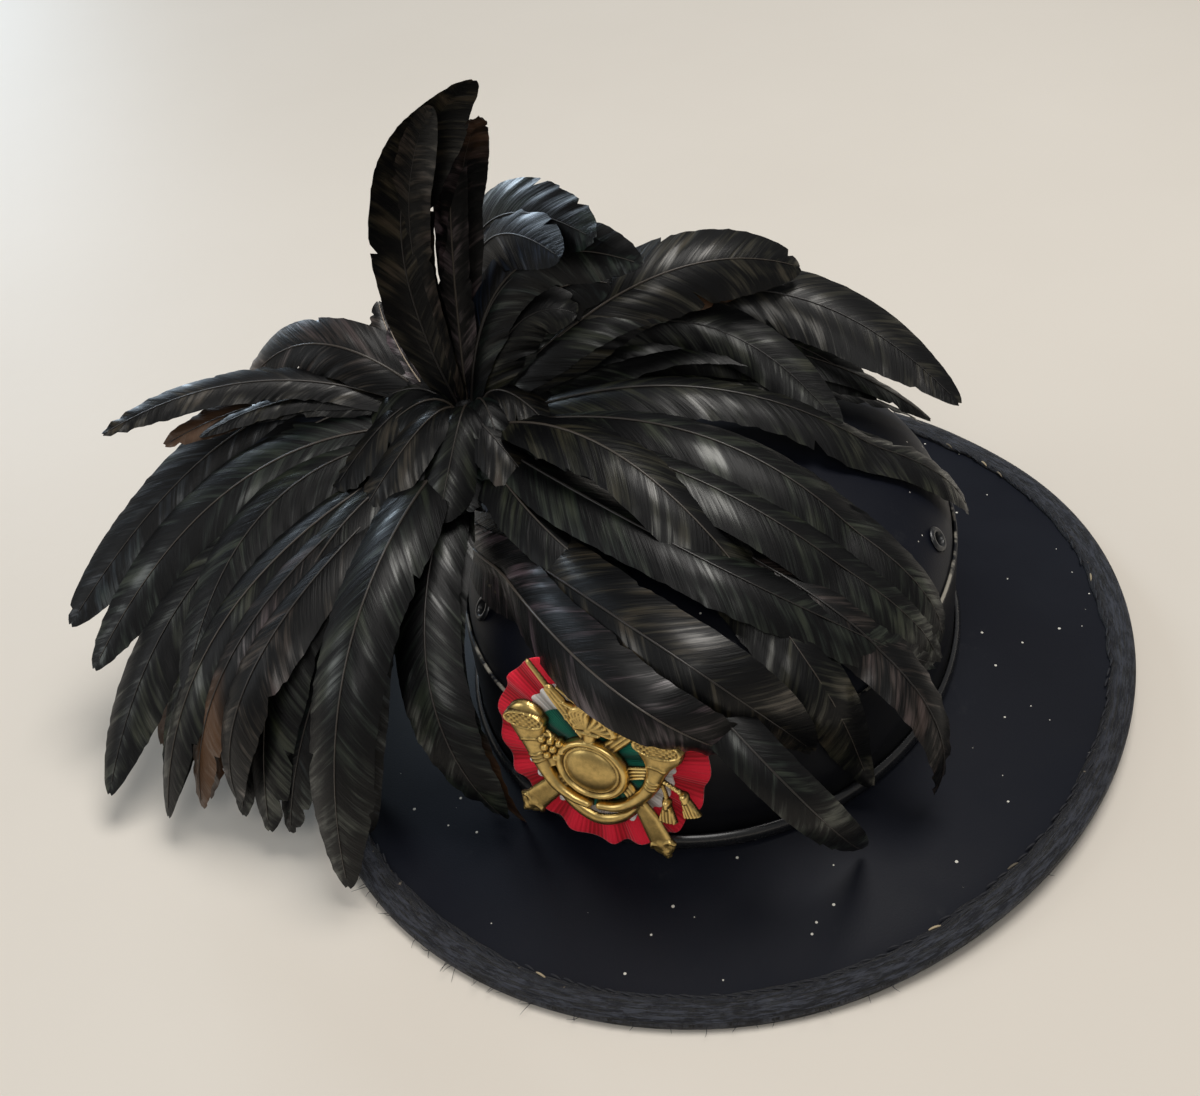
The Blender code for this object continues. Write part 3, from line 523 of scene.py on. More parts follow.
# %% Binding finish
ribbed = Finish("worn_binding_fine", sheen_weight=0.1, sheen_roughness=0.4, specular_ior_level=0.35)
girth = ribbed.stored("girth")
arc = ribbed.stored("arc")
patches = ribbed.noise(1.0, 6.0, ribbed.stretched(arc * 110.0, girth * 6.0, 0.0), 0.8)
torn = ribbed.noise(1.0, 6.0, ribbed.stretched(arc * 75.0, girth * 15.0, 3.0), 0.8)
rubbed = patches.between(0.44, 0.56) * girth.between(0.02, 0.35)
bare = ribbed.noise(150.0, 5.0, roughness=0.8).between(0.64, 0.70) * girth.between(0.45, 0.15)
colour = ribbed.mix((0.0040, 0.0048, 0.0090), (0.040, 0.044, 0.058), rubbed)
colour = ribbed.mix(colour, (0.0010, 0.0012, 0.0022), torn.between(0.52, 0.55))
colour = ribbed.mix(colour, (0.30, 0.25, 0.18), bare * 0.7)
pile = ribbed.noise(420.0, 5.0, roughness=0.75)
roughened = pile * 0.5 + patches + torn.between(0.60, 0.52)
ribbed.surface(base_color=colour, roughness=0.62 + 0.25 * patches,
               normal=ribbed.bump(roughened, 0.8, 0.0009))

# %% Binding
GAP = 0.0003
EDGE_ROUND = 480
RIM_REACH = 0.16  # turns an angle into a rough length along the rim, in m
around = np.linspace(0, math.tau, EDGE_ROUND, endpoint=False)
BINDING_SECTION = [
    # share of the ribbon's width in from the rim, height over the felt in mm, share of girth
    (1.00, 0.25, 0.0), (1.00, 1.05, 0.0), (0.90, 1.42, 0.08), (0.72, 1.28, 0.2), (0.45, 1.30, 0.4),
    (0.20, 1.30, 0.6), (0.03, 1.22, 0.75), (-0.12, 0.75, 0.9), (-0.172, 0.05, 1.0), (-0.175, -1.2, 1.0),
    (-0.170, -2.5, 0.9), (-0.12, -3.25, 0.8), (0.02, -3.75, 0.6), (0.50, -3.80, 0.4), (1.0, -3.80, 0.1),
    (1.0, -2.80, 0.1), (0.0, -2.80, 0.2), (-0.066, -2.6, 0.2), (-0.066, 0.1, 0.2), (0.0, 0.25, 0.2),
]


def bound_edge():
    """The ribbon's net round the rim, uneven along its stitched edge, and how far round it each point is."""
    rng = np.random.default_rng(12)
    lumps = wobble(around, 21, 60) * 0.10 + wobble(around, 22, 14) * 0.12
    rows, girths = [], []
    for share, above, band in BINDING_SECTION:
        width = BINDING_WIDTH * (0.93 + (lumps * 0.55 if share > 0.6 else 0.0))
        points = brim(around, share * (width if share > 0 else BINDING_WIDTH))
        crumple = 0.10 * wobble(around, 30 + len(rows), 90) + 0.05 * rng.normal(size=EDGE_ROUND)
        lift = above + (crumple * 1.4 if above > 0.5 and share > 0.02 else 0.0)
        points[:, 2] += lift / 1000
        rows.append(points)
        girths.append(np.full(EDGE_ROUND, band))
    net = np.stack(rows, 1)
    net[:, :, 2] = np.maximum(net[:, :, 2], 0.0)
    return net, np.stack(girths, 1)


net, girths = bound_edge()
piece("rim_ribbon", net, net_faces(EDGE_ROUND, len(BINDING_SECTION), True, True), ribbed, "worn_binding",
      ["brim_binding"], girth=girths,
      arc=np.broadcast_to(np.abs(around - math.pi)[:, None] * RIM_REACH, girths.shape))
print("binding, points round the rim:", EDGE_ROUND)


# %% Small tubes
def slender(spine, widths, sides=5):
    """A small tapering tube along points, as its net and its faces."""
    spine = np.asarray(spine, float)
    along = np.gradient(spine, axis=0)
    along /= np.linalg.norm(along, axis=1, keepdims=True)
    side = np.cross(along, (0.13, 0.21, 0.97))
    side /= np.linalg.norm(side, axis=1, keepdims=True)
    other = np.cross(along, side)
    angle = np.linspace(0, math.tau, sides, endpoint=False)[:, None]
    round_it = side[:, None] * np.cos(angle) + other[:, None] * np.sin(angle)
    rows = spine[:, None] + np.asarray(widths)[:, None, None] * round_it
    return rows.reshape(-1, 3), net_faces(len(spine), sides, columns_close=True)


def gather(parts):
    """Many small nets as one list of points and one of faces, with the number of each net."""
    points, faces, numbers, start = [], [], [], 0
    for number, (some, joined) in enumerate(parts):
        points.append(some)
        faces.append(joined + start)
        numbers.append(np.full(len(some), number))
        start += len(some)
    return np.concatenate(points), np.concatenate(faces), np.concatenate(numbers)


# %% Stitches
thread = Finish("sewing_thread", roughness=0.7)
tint = thread.stored("tint")
thread.surface(base_color=thread.mix((0.010, 0.011, 0.016), (0.42, 0.34, 0.22), tint.between(0.93, 0.96)))
rng = np.random.default_rng(4)
stitches = []
STITCHES = 190
for k in range(STITCHES):
    start = math.tau * k / STITCHES
    angles = np.linspace(start, start + math.tau / STITCHES * 0.82, 6)
    line = brim(angles, BINDING_WIDTH * (0.86 + 0.05 * rng.normal() + np.linspace(0.05, -0.05, 6)))
    line[:, 2] += 0.00118 + 0.00040 * np.sin(np.linspace(0, math.pi, 6))
    stitches.append(slender(line, 0.00042 * np.array([0.4, 0.9, 1, 1, 0.9, 0.4])))
points, faces, numbers = gather(stitches)
piece("binding_stitches", points, faces, thread, "worn_binding", tint=rng.random(STITCHES)[numbers])
print("stitches:", STITCHES)

# %% Loose threads
LOOSE_THREADS = 70
FRAYED_HEADING, FRAYED_SPREAD = -1.75, 0.5  # most hang at the front
run_out = np.linspace(0, 1, 5)
threads = []
for _ in range(LOOSE_THREADS):
    angle = rng.normal(FRAYED_HEADING, FRAYED_SPREAD)
    at = brim(np.array([angle]), -0.0016)[0] + (0, 0, rng.uniform(-0.0022, 0.0004))
    out = np.array([math.cos(angle + rng.normal() * 0.6), math.sin(angle + rng.normal() * 0.6),
                    rng.normal() * 0.35])
    reach = rng.uniform(0.0012, 0.0042)
    curl = np.outer(run_out**2, rng.normal(size=3)) * 0.0012
    line = at + np.outer(np.linspace(-0.15, 1, 5), out) * reach + curl
    line[:, 2] = np.maximum(line[:, 2], 0.0003)
    threads.append(slender(line, 0.00013 * np.array([1, 1, 0.8, 0.6, 0.3]), 3))
points, faces, _ = gather(threads)
piece("binding_threads", points, faces, thread, "worn_binding", tint=np.zeros(len(points)))
print("loose threads:", LOOSE_THREADS)

# %% [markdown]
# ## The chin strap
# One black leather strap runs from side to side inside the crown. On the floor it comes out under
# the raised edge on the wearer's right in a flat loop. It is a rounded ribbon along a smooth line
# through the route that the CAD gives it.

# %% Strap route
STRAP_ROUTE = [
    # x, y as shares of the brim's half width and half length
    (-0.70, 0.02), (-0.92, 0.00), (-1.04, -0.14), (-1.05, -0.32), (-0.99, -0.47), (-0.89, -0.56),
    (-0.76, -0.60), (-0.56, -0.56), (-0.28, -0.36), (0.06, -0.16), (0.34, -0.05),
]
STRAP_WIDTH, STRAP_THICK = 0.011, 0.002
STRAP_CLEARANCE, STRAP_CLIMB = 0.0012, 0.021


def smooth_line(points, steps):
    """A curve through the points, each span between two of them weighed with its neighbours."""
    points = np.asarray(points, float)
    ends = np.concatenate([points[:1], points, points[-1:]])
    share = np.linspace(0, 1, steps, endpoint=False)[:, None]
    spans = []
    for a, b, c, d in zip(ends, ends[1:], ends[2:], ends[3:]):
        spans.append(0.5 * (2 * b + (c - a) * share + (2 * a - 5 * b + 4 * c - d) * share**2
                            + (3 * b - a - 3 * c + d) * share**3))
    return np.concatenate(spans + [points[-1:]])


def strap_line():
    """Up the inner wall on both sides, and along the floor between them."""
    level, bend = STRAP_THICK / 2, 2.5 * STRAP_THICK
    wall = FOOT_WIDTH - WALL - STRAP_CLEARANCE - STRAP_THICK / 2
    route = [(-wall, 0, level + STRAP_CLIMB), (-wall, 0, level + bend), (-wall - bend, 0, level)]
    route += [(x * RIM_WIDTH, y * RIM_LENGTH, level) for x, y in STRAP_ROUTE]
    route += [(wall - bend, 0, level), (wall, 0, level + bend), (wall, 0, level + STRAP_CLIMB)]
    line = smooth_line(route, 14)
    line[:, 2] = np.maximum(line[:, 2], level)
    return line


# %% Strap finish
strap_hide = Finish("strap_leather_fine", specular_ior_level=0.55)
crossing = strap_hide.stored("crossing")
pores = strap_hide.noise(800.0, 3.0)
scuff = strap_hide.noise(45.0, 4.0).between(0.45, 0.75)
edge_wear = crossing.between(0.80, 0.98)
groove = crossing.between(0.62, 0.68) * crossing.between(0.80, 0.74)
worn_off = (edge_wear + scuff * 0.4) * 0.55
strap_hide.surface(base_color=strap_hide.mix((0.0050, 0.0052, 0.0060), (0.045, 0.042, 0.040), worn_off),
                   roughness=0.30 + 0.25 * scuff, normal=strap_hide.bump(pores * 0.4 - groove, 0.5, 0.0002))

# %% Strap
STRAP_SECTION = [
    # share of the half width, share of the half thickness
    (-1.0, 0.0), (-0.985, 0.7), (-0.93, 1.0), (-0.72, 1.0), (-0.35, 1.0), (0.0, 1.0), (0.35, 1.0),
    (0.72, 1.0), (0.93, 1.0), (0.985, 0.7), (1.0, 0.0), (0.985, -0.7), (0.93, -1.0), (0.0, -1.0),
    (-0.93, -1.0), (-0.985, -0.7),
]
line = strap_line()
along = np.gradient(line, axis=0)
along /= np.linalg.norm(along, axis=1, keepdims=True)
level_way = along * (1, 1, 0)
steep = np.linalg.norm(level_way, axis=1) < 0.3
level_way[steep] = np.where(np.arange(len(line)) < len(line) / 2, -1, 1)[steep, None] * np.array([1, 0, 0])
side = np.stack([-level_way[:, 1], level_way[:, 0], np.zeros(len(line))], 1)
side /= np.linalg.norm(side, axis=1, keepdims=True)
face = np.cross(along, side)
section = np.array(STRAP_SECTION)
net = (line[:, None] + side[:, None] * section[:, :1] * STRAP_WIDTH / 2
       + face[:, None] * section[:, 1:] * STRAP_THICK / 2)
faces = net_faces(len(line), len(section), columns_close=True).tolist()
first_end = list(range(len(section)))
faces += [first_end[::-1], [(len(line) - 1) * len(section) + k for k in first_end]]
piece("leather_strap", net, faces, strap_hide, "strap_leather", ["chin_strap"],
      crossing=np.broadcast_to(np.abs(section[:, 0]), (len(line), len(section))))
print("strap length, m:", round(float(np.linalg.norm(np.diff(line, axis=0), axis=1).sum()), 3))

# %% [markdown]
# ## The cockade
# Three ribbons, each gathered into a pleated ring: red outside, white, then green, with the badge
# over them. The weave has fine ribs that run outwards. Big pleats are real folds in the mesh, the
# ribs a bump. All three lie in one leaning plane and bend a little round the crown.

# %% Cockade place
COCKADE_HEADING, COCKADE_LEAN = math.radians(3.5), math.radians(9)
BAND_OUT, COCKADE_TOUCH, COCKADE_HEIGHT = 0.0018, 0.058, 0.0565
facing = np.array([-math.sin(COCKADE_HEADING) * math.cos(COCKADE_LEAN),
                   -math.cos(COCKADE_HEADING) * math.cos(COCKADE_LEAN), math.sin(COCKADE_LEAN)])
rising = np.array([0, 0, 1]) - facing * facing[2]
rising /= np.linalg.norm(rising)
sideways = np.cross(rising, facing)


def cockade_middle():
    """Where the cockade's back meets the band, moved up to its own height."""
    width, length = FOOT_WIDTH + BAND_OUT, FOOT_LENGTH + BAND_OUT
    reach = math.hypot(width * math.sin(COCKADE_HEADING), length * math.cos(COCKADE_HEADING))
    touch = np.array([-(width**2) * math.sin(COCKADE_HEADING) / reach,
                      -(length**2) * math.cos(COCKADE_HEADING) / reach, COCKADE_TOUCH])
    spot = touch + facing * GAP
    return spot + rising * (COCKADE_HEIGHT - spot[2]) / rising[2]


MIDDLE = cockade_middle()
print("cockade's middle, mm:", np.round(MIDDLE * 1000, 1))


def on_cockade(x, y, z):
    """World points from points in the cockade's plane: x to the viewer's right, y up, z out."""
    return MIDDLE + x[..., None] * sideways + y[..., None] * rising + z[..., None] * facing


# %% Ribbon finish
def ribbon_finish(name, dark, light):
    """Gathered ribbon whose colour carries painted light: shade in the folds and light on their crests, with
    fine ribs and long streaks that run outwards.
    """
    made = Finish(name, sheen_weight=0.25, sheen_roughness=0.35, specular_ior_level=0.35)
    around_it = made.stored("around")
    fold = made.stored("fold")
    rib = (around_it * 150.0).sine()
    streak = made.noise(1.0, 3.0, made.stretched(around_it * 60.0, fold, 0.0))
    # painted light: the colour runs from the shade colour in the pleats' hollows to the lit colour on their
    # crests, ribs and streaks
    painted_pleat_light = (fold * 0.45 + streak * 0.45 + rib * 0.12).between(0.12, 0.62)
    made.surface(base_color=made.mix(dark, light, painted_pleat_light), roughness=0.72,
                 normal=made.bump(rib * 0.5 + streak, 0.55, 0.00025))
    return made


# %% Three pleated ribbons
PLEAT, HUB, RED_RADIUS, LAYER, COCKADE_BEND = 0.0016, 0.002, 0.038, 0.0013, 0.30
COCKADE_RIBBONS = [
    # node, radius, layer, scallops, painted shade colour for the folds, painted lit colour for the crests
    ("cockade_red", RED_RADIUS, 0, 17, (0.40, 0.003, 0.012), (0.86, 0.014, 0.045)),
    ("cockade_white", 0.0275, 1, 30, (0.55, 0.54, 0.51), (0.93, 0.92, 0.90)),
    ("cockade_green", 0.021, 2, 15, (0.002, 0.045, 0.030), (0.008, 0.210, 0.140)),
]
FAN = 720
fan = np.linspace(0, math.tau, FAN, endpoint=False)
for node, radius, layer, scallops, dark, light in COCKADE_RIBBONS:
    reach = np.concatenate([np.linspace(HUB, radius * 0.99, 16), [radius, radius, radius * 0.99], [HUB]])
    lift = np.concatenate([np.full(16, 0.0010), [0.0009, 0.0002, 0.0], [0.0]])
    uneven = wobble(fan, 40 + layer, 12)
    fold = 0.5 + 0.5 * np.cos(scallops * fan + 0.8 * uneven)
    rim = 1 - 0.0013 / radius * (1 - fold) * (1 + 0.4 * uneven) - 0.004 * uneven
    share = ((reach - HUB) / (RED_RADIUS - HUB))[None, :]
    spread = np.where(reach > radius * 0.6, rim[:, None], 1 + (rim[:, None] - 1) * share) * reach[None, :]
    x, y = spread * np.cos(fan)[:, None], spread * np.sin(fan)[:, None]
    wave = fold[:, None] * (1 + 0.25 * uneven[:, None])
    z = layer * LAYER + lift[None, :] + PLEAT * np.clip(wave, 0, 1.15) * share - x * x / COCKADE_BEND
    slot = node.replace("cockade", "ribbon")
    piece(node + "_ribbon", on_cockade(x, y, z), net_faces(FAN, len(reach), True, True),
          ribbon_finish(slot + "_fine", dark, light), slot, [node],
          around=np.broadcast_to(fan[:, None], x.shape), fold=np.broadcast_to(fold[:, None], x.shape))
    print(slot, "has", scallops, "big pleats")

# %% [markdown]
# ## The badge
# A brass casting pinned through the cockade: crossed rifles behind a hunting horn coiled round a
# plain domed disc, with a flaming grenade above and a wreath below. Between them it is open. We
# work it out as a height over a plane, as an engraver cuts a die: every rod, bell and flame raises
# its own ridge, the highest wins, and the sheet is trimmed where nothing rises.

# %% Relief tools
CELL, HALF = 0.00023, 0.036  # one cell of the height map, and half of its width
grid = np.arange(-HALF, HALF + CELL, CELL) * 1000
GX, GY = np.meshgrid(grid, grid, indexing="ij")
relief = np.full(GX.shape, -1.0)


def along_line(points):
    """Distance to a line of x, y, radius points, the radius there and the way run along it, in mm."""
    far, radius, run = np.full(GX.shape, 1e3), np.zeros(GX.shape), np.zeros(GX.shape)
    done = 0.0
    for (x0, y0, r0), (x1, y1, r1) in zip(points, points[1:]):
        length = math.hypot(x1 - x0, y1 - y0)
        share = np.clip(((GX - x0) * (x1 - x0) + (GY - y0) * (y1 - y0)) / length**2, 0, 1)
        gap = np.hypot(GX - x0 - share * (x1 - x0), GY - y0 - share * (y1 - y0))
        nearer = gap / (r0 + (r1 - r0) * share) < far / np.maximum(radius, 1e-6)
        far = np.where(nearer, gap, far)
        radius = np.where(nearer, r0 + (r1 - r0) * share, radius)
        run = np.where(nearer, done + share * length, run)
        done += length
    return far, radius, run


def raise_where(inside, height):
    """Raises the relief to this height inside a mask, where it was lower."""
    global relief
    relief = np.where(inside, np.maximum(relief, height), relief)


def dome(far, radius=1.0):
    """Height of a half-round over its foot, 1 at the middle and 0 from this radius on."""
    return np.sqrt(np.clip(1 - (far / radius) ** 2, 0, 1))


def ridge(points, rise, flat=2.0, rings=0.0, ring_depth=0.0, lift=0.0):
    """A rounded ridge along a line, with grooves across it every few mm if rings is set."""
    far, radius, run = along_line(points)
    share = far / radius
    body = (1 - np.clip(share, 0, 1) ** flat) ** 0.5 * rise * np.minimum(1, radius) + lift
    if rings:
        body = body - ring_depth * (0.5 + 0.5 * np.cos(run / rings * math.tau)) * (1 - share**4)
    raise_where(share < 1, body)


def curve(points, steps=6):
    """More points, on a smooth line through these."""
    return [tuple(p) for p in smooth_line(np.array(points, float), steps)]


print("height map, cells:", GX.size)

# %% Rifles
RIFLES = [
    # from the butt to the muzzle: x, y, half width in mm
    [(20.3, -30.4, 4.3), (18.4, -26.4, 4.1), (15.8, -20.8, 3.7), (12.6, -15.4, 2.7), (4.0, -4.6, 2.5),
     (-14.5, 18.6, 2.5), (-17.6, 22.4, 1.9)],
    [(-26.4, -27.2, 4.3), (-23.2, -23.4, 4.1), (-19.0, -18.8, 3.7), (-15.0, -14.6, 2.7), (-4.0, -2.6, 2.5),
     (18.0, 20.6, 2.5), (21.0, 24.0, 1.9)],
]
MUZZLES = [[(-17.0, 21.6, 1.0), (-24.5, 31.2, 0.8)], [(20.4, 23.2, 1.0), (27.0, 31.0, 0.8)]]


def past_butt(stock, along, aside, radius):
    """A point this far past the butt's end and this far to its side."""
    end, before = np.array(stock[0][:2]), np.array(stock[1][:2])
    way = (end - before) / np.linalg.norm(end - before)
    x, y = end + way * along + np.array([-way[1], way[0]]) * aside
    return x, y, radius


for stock, muzzle in zip(RIFLES, MUZZLES):
    far, radius, run = along_line(stock)
    share = far / radius
    flutes = 0.16 * np.cos(share * 3.2 * math.pi)
    bands = 0.35 * np.exp(-(((run - 38) / 0.9) ** 2)) + 0.35 * np.exp(-(((run - 54) / 0.8) ** 2))
    raise_where(share < 1, 1.35 * (1 - share**6) ** 0.5 + flutes * (run > 16) + bands)
    ridge(muzzle, 1.5)
    ridge([muzzle[0], (muzzle[0][0] * 1.04, muzzle[0][1] * 1.05, 1.6)], 1.7)
    for shift, bulge in ((0.0, 3.4), (2.4, 2.6)):
        ridge([past_butt(stock, shift, 0, bulge), past_butt(stock, shift + 0.8, 0, bulge * 0.7)], 1.9)
    for side in (-1, 1):
        hook = [(0, 0, 1.6), (-1, 3.0 * side, 1.2), (0.5, 4.4 * side, 0.7)]
        ridge(curve([past_butt(stock, *place) for place in hook]), 1.8)
        ridge([past_butt(stock, -4, 2.7 * side, 0.5), past_butt(stock, -9, 2.7 * side, 0.5)], 1.9)
    ridge([past_butt(stock, 3.6, 0, 1.5), past_butt(stock, 4.4, 0, 1.2)], 1.7)
print("rifles, share of the map:", round(float((relief > 0).mean()), 3))

# %% Wreath and disc
WREATH = [
    # x, y, half width in mm
    (-16.5, -16.0, 1.0), (-13.6, -20.4, 1.9), (-8.8, -24.6, 2.3), (-2.5, -26.8, 2.3), (3.8, -25.0, 2.0),
    (9.0, -20.8, 1.5), (12.5, -16.0, 1.0),
]
ridge(curve(WREATH), 1.7)
for side in (-1.0, 1.0):
    leaves = [(x + 0.4 * side, y + side * (1 + 0.5 * (k % 2)), 0.5) for k, (x, y, _) in enumerate(WREATH)]
    ridge(curve(leaves), 1.9)

DISC = (-3.2, -5.0)
from_disc = np.hypot(GX - DISC[0], (GY - DISC[1]) * 1.1)
raise_where(from_disc < 12.4, 1.2)
raise_where(from_disc < 8.9, 1.9 + 3.0 * dome(from_disc, 9.3))
for ring_radius, ring_half, foot, rise in ((9.4, 0.6, 2.3, 0.5), (11.4, 1.4, 1.5, 2.0)):
    from_ring = from_disc - ring_radius
    raise_where(np.abs(from_ring) < ring_half, foot + rise * dome(from_ring, ring_half))
print("highest relief so far, mm:", round(float(relief.max()), 2))

# %% Horns
RIGHT_HORN = [
    # x, y, half width in mm
    (-1.0, -19.6, 1.6), (4.5, -18.6, 1.8), (9.6, -15.6, 2.0), (14.2, -11.0, 2.3), (17.0, -6.4, 2.6),
    (18.6, -1.6, 2.9), (19.6, 3.0, 4.0), (20.1, 7.6, 6.4), (20.4, 10.4, 8.2),
]
LEFT_HORN = [
    (-5.5, -20.2, 1.7), (-10.6, -19.0, 2.0), (-16.4, -15.4, 2.4), (-20.4, -9.6, 2.8), (-23.0, -3.8, 3.2),
    (-24.6, 1.0, 4.2), (-25.6, 5.0, 5.6), (-26.0, 8.4, 7.0),
]
HORN_RINGS = (0.60, 0.635, 0.67, 0.84)  # as shares of the horn's length
for horn, mouth, wide in ((RIGHT_HORN, (20.4, 11.5), 8.5), (LEFT_HORN, (-26.0, 9.6), 7.4)):
    far, radius, run = along_line(curve(horn))
    share = far / radius
    body = 1.2 + 2.6 * dome(share) * np.minimum(1, radius / 2.6) ** 0.4
    for ring_at in HORN_RINGS:
        body += 0.42 * np.exp(-(((run - run.max() * ring_at) / 0.45) ** 2)) * (share < 1)
    raise_where(share < 1, body)
    lip = np.hypot(GX - mouth[0], (GY - mouth[1]) * 2.35) / wide
    beaten = 0.35 * np.cos(GX * 2.9) * np.cos(GY * 3.3) * (lip < 0.8)
    raise_where(lip < 1, 4.3 - 0.5 * (lip < 0.86) + beaten)
print("horns' mouths, mm high:", round(float(relief.max()), 2))

# %% Beads, cords and tassels
BEADS, BEAD_RADIUS, BEAD_STEP = 11, 1.3, 3.1
for k in range(BEADS):
    x = -23.5 + BEAD_STEP * (k % 4) + 0.8 * (k // 4)
    y = 2.6 - BEAD_STEP * (k // 4)
    bead = np.hypot(GX - x, GY - y)
    raise_where(bead < BEAD_RADIUS, 2.6 + 1.1 * dome(bead, BEAD_RADIUS))
raise_where(np.hypot(GX + 19.0, (GY + 2.0) * 0.9) < 6.0, 1.9)
for k in range(4):
    ridge([(9.0, -1.8 - 1.4 * k, 0.55), (18.0, 0.6 - 1.2 * k, 0.55)], 2.3)
    ridge([(-16.0, 3.4 - 1.3 * k, 0.5), (-21.5, 6.0 - 1.3 * k, 0.5)], 2.2)
CORDS = [
    [(20.0, -3.0, 0.7), (24.2, -5.0, 0.7), (27.8, -6.4, 0.9)],
    [(20.0, -3.5, 0.7), (21.6, -8.0, 0.7), (22.2, -10.8, 0.9)],
]
for cord in CORDS:
    ridge(curve(cord), 2.2, rings=1.1, ring_depth=0.4)
TASSELS = [((28.2, -7.0), (31.2, -14.6)), ((22.3, -11.4), (22.6, -19.4))]
for (hx, hy), (tx, ty) in TASSELS:
    length = math.hypot(tx - hx, ty - hy)
    knot = (hx + (tx - hx) * 0.2, hy + (ty - hy) * 0.2)
    ridge([(hx, hy, 1.7), (*knot, 1.4)], 2.9)
    far, radius, run = along_line([(*knot, 1.5), (tx, ty, 3.2)])
    aside = ((GX - hx) * (ty - hy) - (GY - hy) * (tx - hx)) / length
    strands = 2.3 - 0.6 * (far / radius) ** 2 + 0.28 * np.cos(aside * 5.2)
    raise_where((far < radius) & (run > 0.05) & (run < length * 0.8 - 0.05), strands)
print("beads, cords, tassels:", BEADS, len(CORDS), len(TASSELS))

# %% Flames over their socket
ridge([(-3.8, 6.6, 2.4), (-3.8, 9.6, 2.2), (-3.8, 11.0, 2.6)], 3.0)
ridge([(-7.6, 9.8, 0.9), (0.0, 9.8, 0.9)], 3.6)
FLAMES = [
    # where each lock of flame ends, and how far it bows sideways
    (15.5, 12.6, 2.4), (13.0, 16.0, 2.6), (9.0, 18.4, 2.2), (5.0, 20.6, 1.8), (1.0, 22.6, 1.2),
    (-2.8, 24.6, -0.8), (-6.0, 25.4, -1.2), (-9.0, 25.0, -1.8), (-12.0, 24.8, -2.2), (-14.6, 24.0, -2.6),
    (-13.8, 18.6, -2.6), (-12.2, 14.4, -2.2),
]
for tip_x, tip_y, bow in FLAMES:
    mid = ((tip_x - 3.8) / 2, (tip_y + 10.6) / 2)
    lock = [(-3.8 + 0.12 * tip_x, 11.4, 1.5), (mid[0] * 0.62 - 1.4 + bow, mid[1] - 1.2, 1.5),
            (mid[0] + 0.9 - bow * 0.8, mid[1] + 2.6, 1.25), (tip_x, tip_y, 0.5)]
    ridge(curve(lock), 2.5, flat=1.6, lift=0.3)
print("locks of flame:", len(FLAMES))


# %% Cast the badge
def cast(height, rim, back):
    """Points and faces of the sheet over the plane where it rises above rim, with walls down to back."""
    inside = height > rim
    cells = inside[:-1, :-1] | inside[1:, :-1] | inside[:-1, 1:] | inside[1:, 1:]
    columns = height.shape[1]
    x, y, z = GX.copy(), GY.copy(), height.copy()
    slope_x, slope_y = np.gradient(np.maximum(height, -1.0), CELL * 1000)
    outside = ~inside
    steep = np.maximum(slope_x**2 + slope_y**2, 4.0)
    step = np.clip((rim - np.maximum(height, -1.0)) / steep, 0, CELL * 600)
    x[outside] += (slope_x * step)[outside]
    y[outside] += (slope_y * step)[outside]
    z[outside] = rim
    ii, jj = np.nonzero(cells)
    corner = ii * columns + jj
    quads = np.stack([corner, corner + columns, corner + columns + 1, corner + 1], 1)
    used, index = np.unique(quads, return_inverse=True)
    quads = index.reshape(quads.shape)
    top = np.stack([x.ravel()[used], y.ravel()[used], z.ravel()[used]], 1)
    under = top.copy()
    under[:, 2] = back
    edges = np.concatenate([quads[:, [0, 1]], quads[:, [1, 2]], quads[:, [2, 3]], quads[:, [3, 0]]])
    keys = {(a, b) for a, b in edges.tolist()}
    border = np.array([(a, b) for a, b in keys if (b, a) not in keys])
    walls = np.stack([border[:, 1], border[:, 0], border[:, 0] + len(top), border[:, 1] + len(top)], 1)
    return np.concatenate([top, under]), np.concatenate([quads, quads[:, ::-1] + len(top), walls]), used


def blurred(values, times):
    """Each value is mixed with its four neighbours, this many times."""
    for _ in range(times):
        padded = np.pad(values, 1, mode="edge")
        beside = padded[:-2, 1:-1] + padded[2:, 1:-1] + padded[1:-1, :-2] + padded[1:-1, 2:]
        values = (beside + 2 * values) / 6
    return values


BADGE_SHIFT = np.array([0.0042, 0.0027, 0.0056])  # aside, up and out from the cockade's middle
solid_relief = np.maximum(relief, 0.0)
soft = blurred(solid_relief, 1)
soft = np.where(relief > 0.3, soft, np.minimum(soft, 0.25))
points, faces, used = cast(soft, 0.45, 0.0)
hollow = blurred(solid_relief, 14) - solid_relief
worn = np.tile(np.clip(0.55 - 0.9 * hollow.ravel()[used], 0, 1), 2)
lifted = on_cockade(*(points / 1000 + BADGE_SHIFT).T)

# %% Brass
brass = Finish("aged_brass_fine", metallic=1.0)
handled = brass.stored("handled")
stain = brass.noise(260.0, 5.0, roughness=0.7)
bright = (handled + (stain - 0.5) * 0.55).between(0.18, 0.78)
brass.surface(base_color=brass.mix((0.095, 0.060, 0.024), (0.80, 0.57, 0.21), bright),
              roughness=0.42 - 0.18 * bright + 0.12 * stain,
              normal=brass.bump(brass.noise(900.0, 4.0), 0.25, 0.0001))
piece("cast_badge", lifted, faces, brass, "aged_brass", ["badge"], handled=worn)
print("badge faces:", len(faces))

# %% [markdown]
# ## Shape of a feather
# A cock's tail feather is a shaft with a soft vane on each side. The vane is made of barbs that
# leave the shaft at a slant and lie side by side, so a row of our net follows one barb. Where barbs
# have come apart the edge splits along the slant, and where they bunch they make slanting ripples.

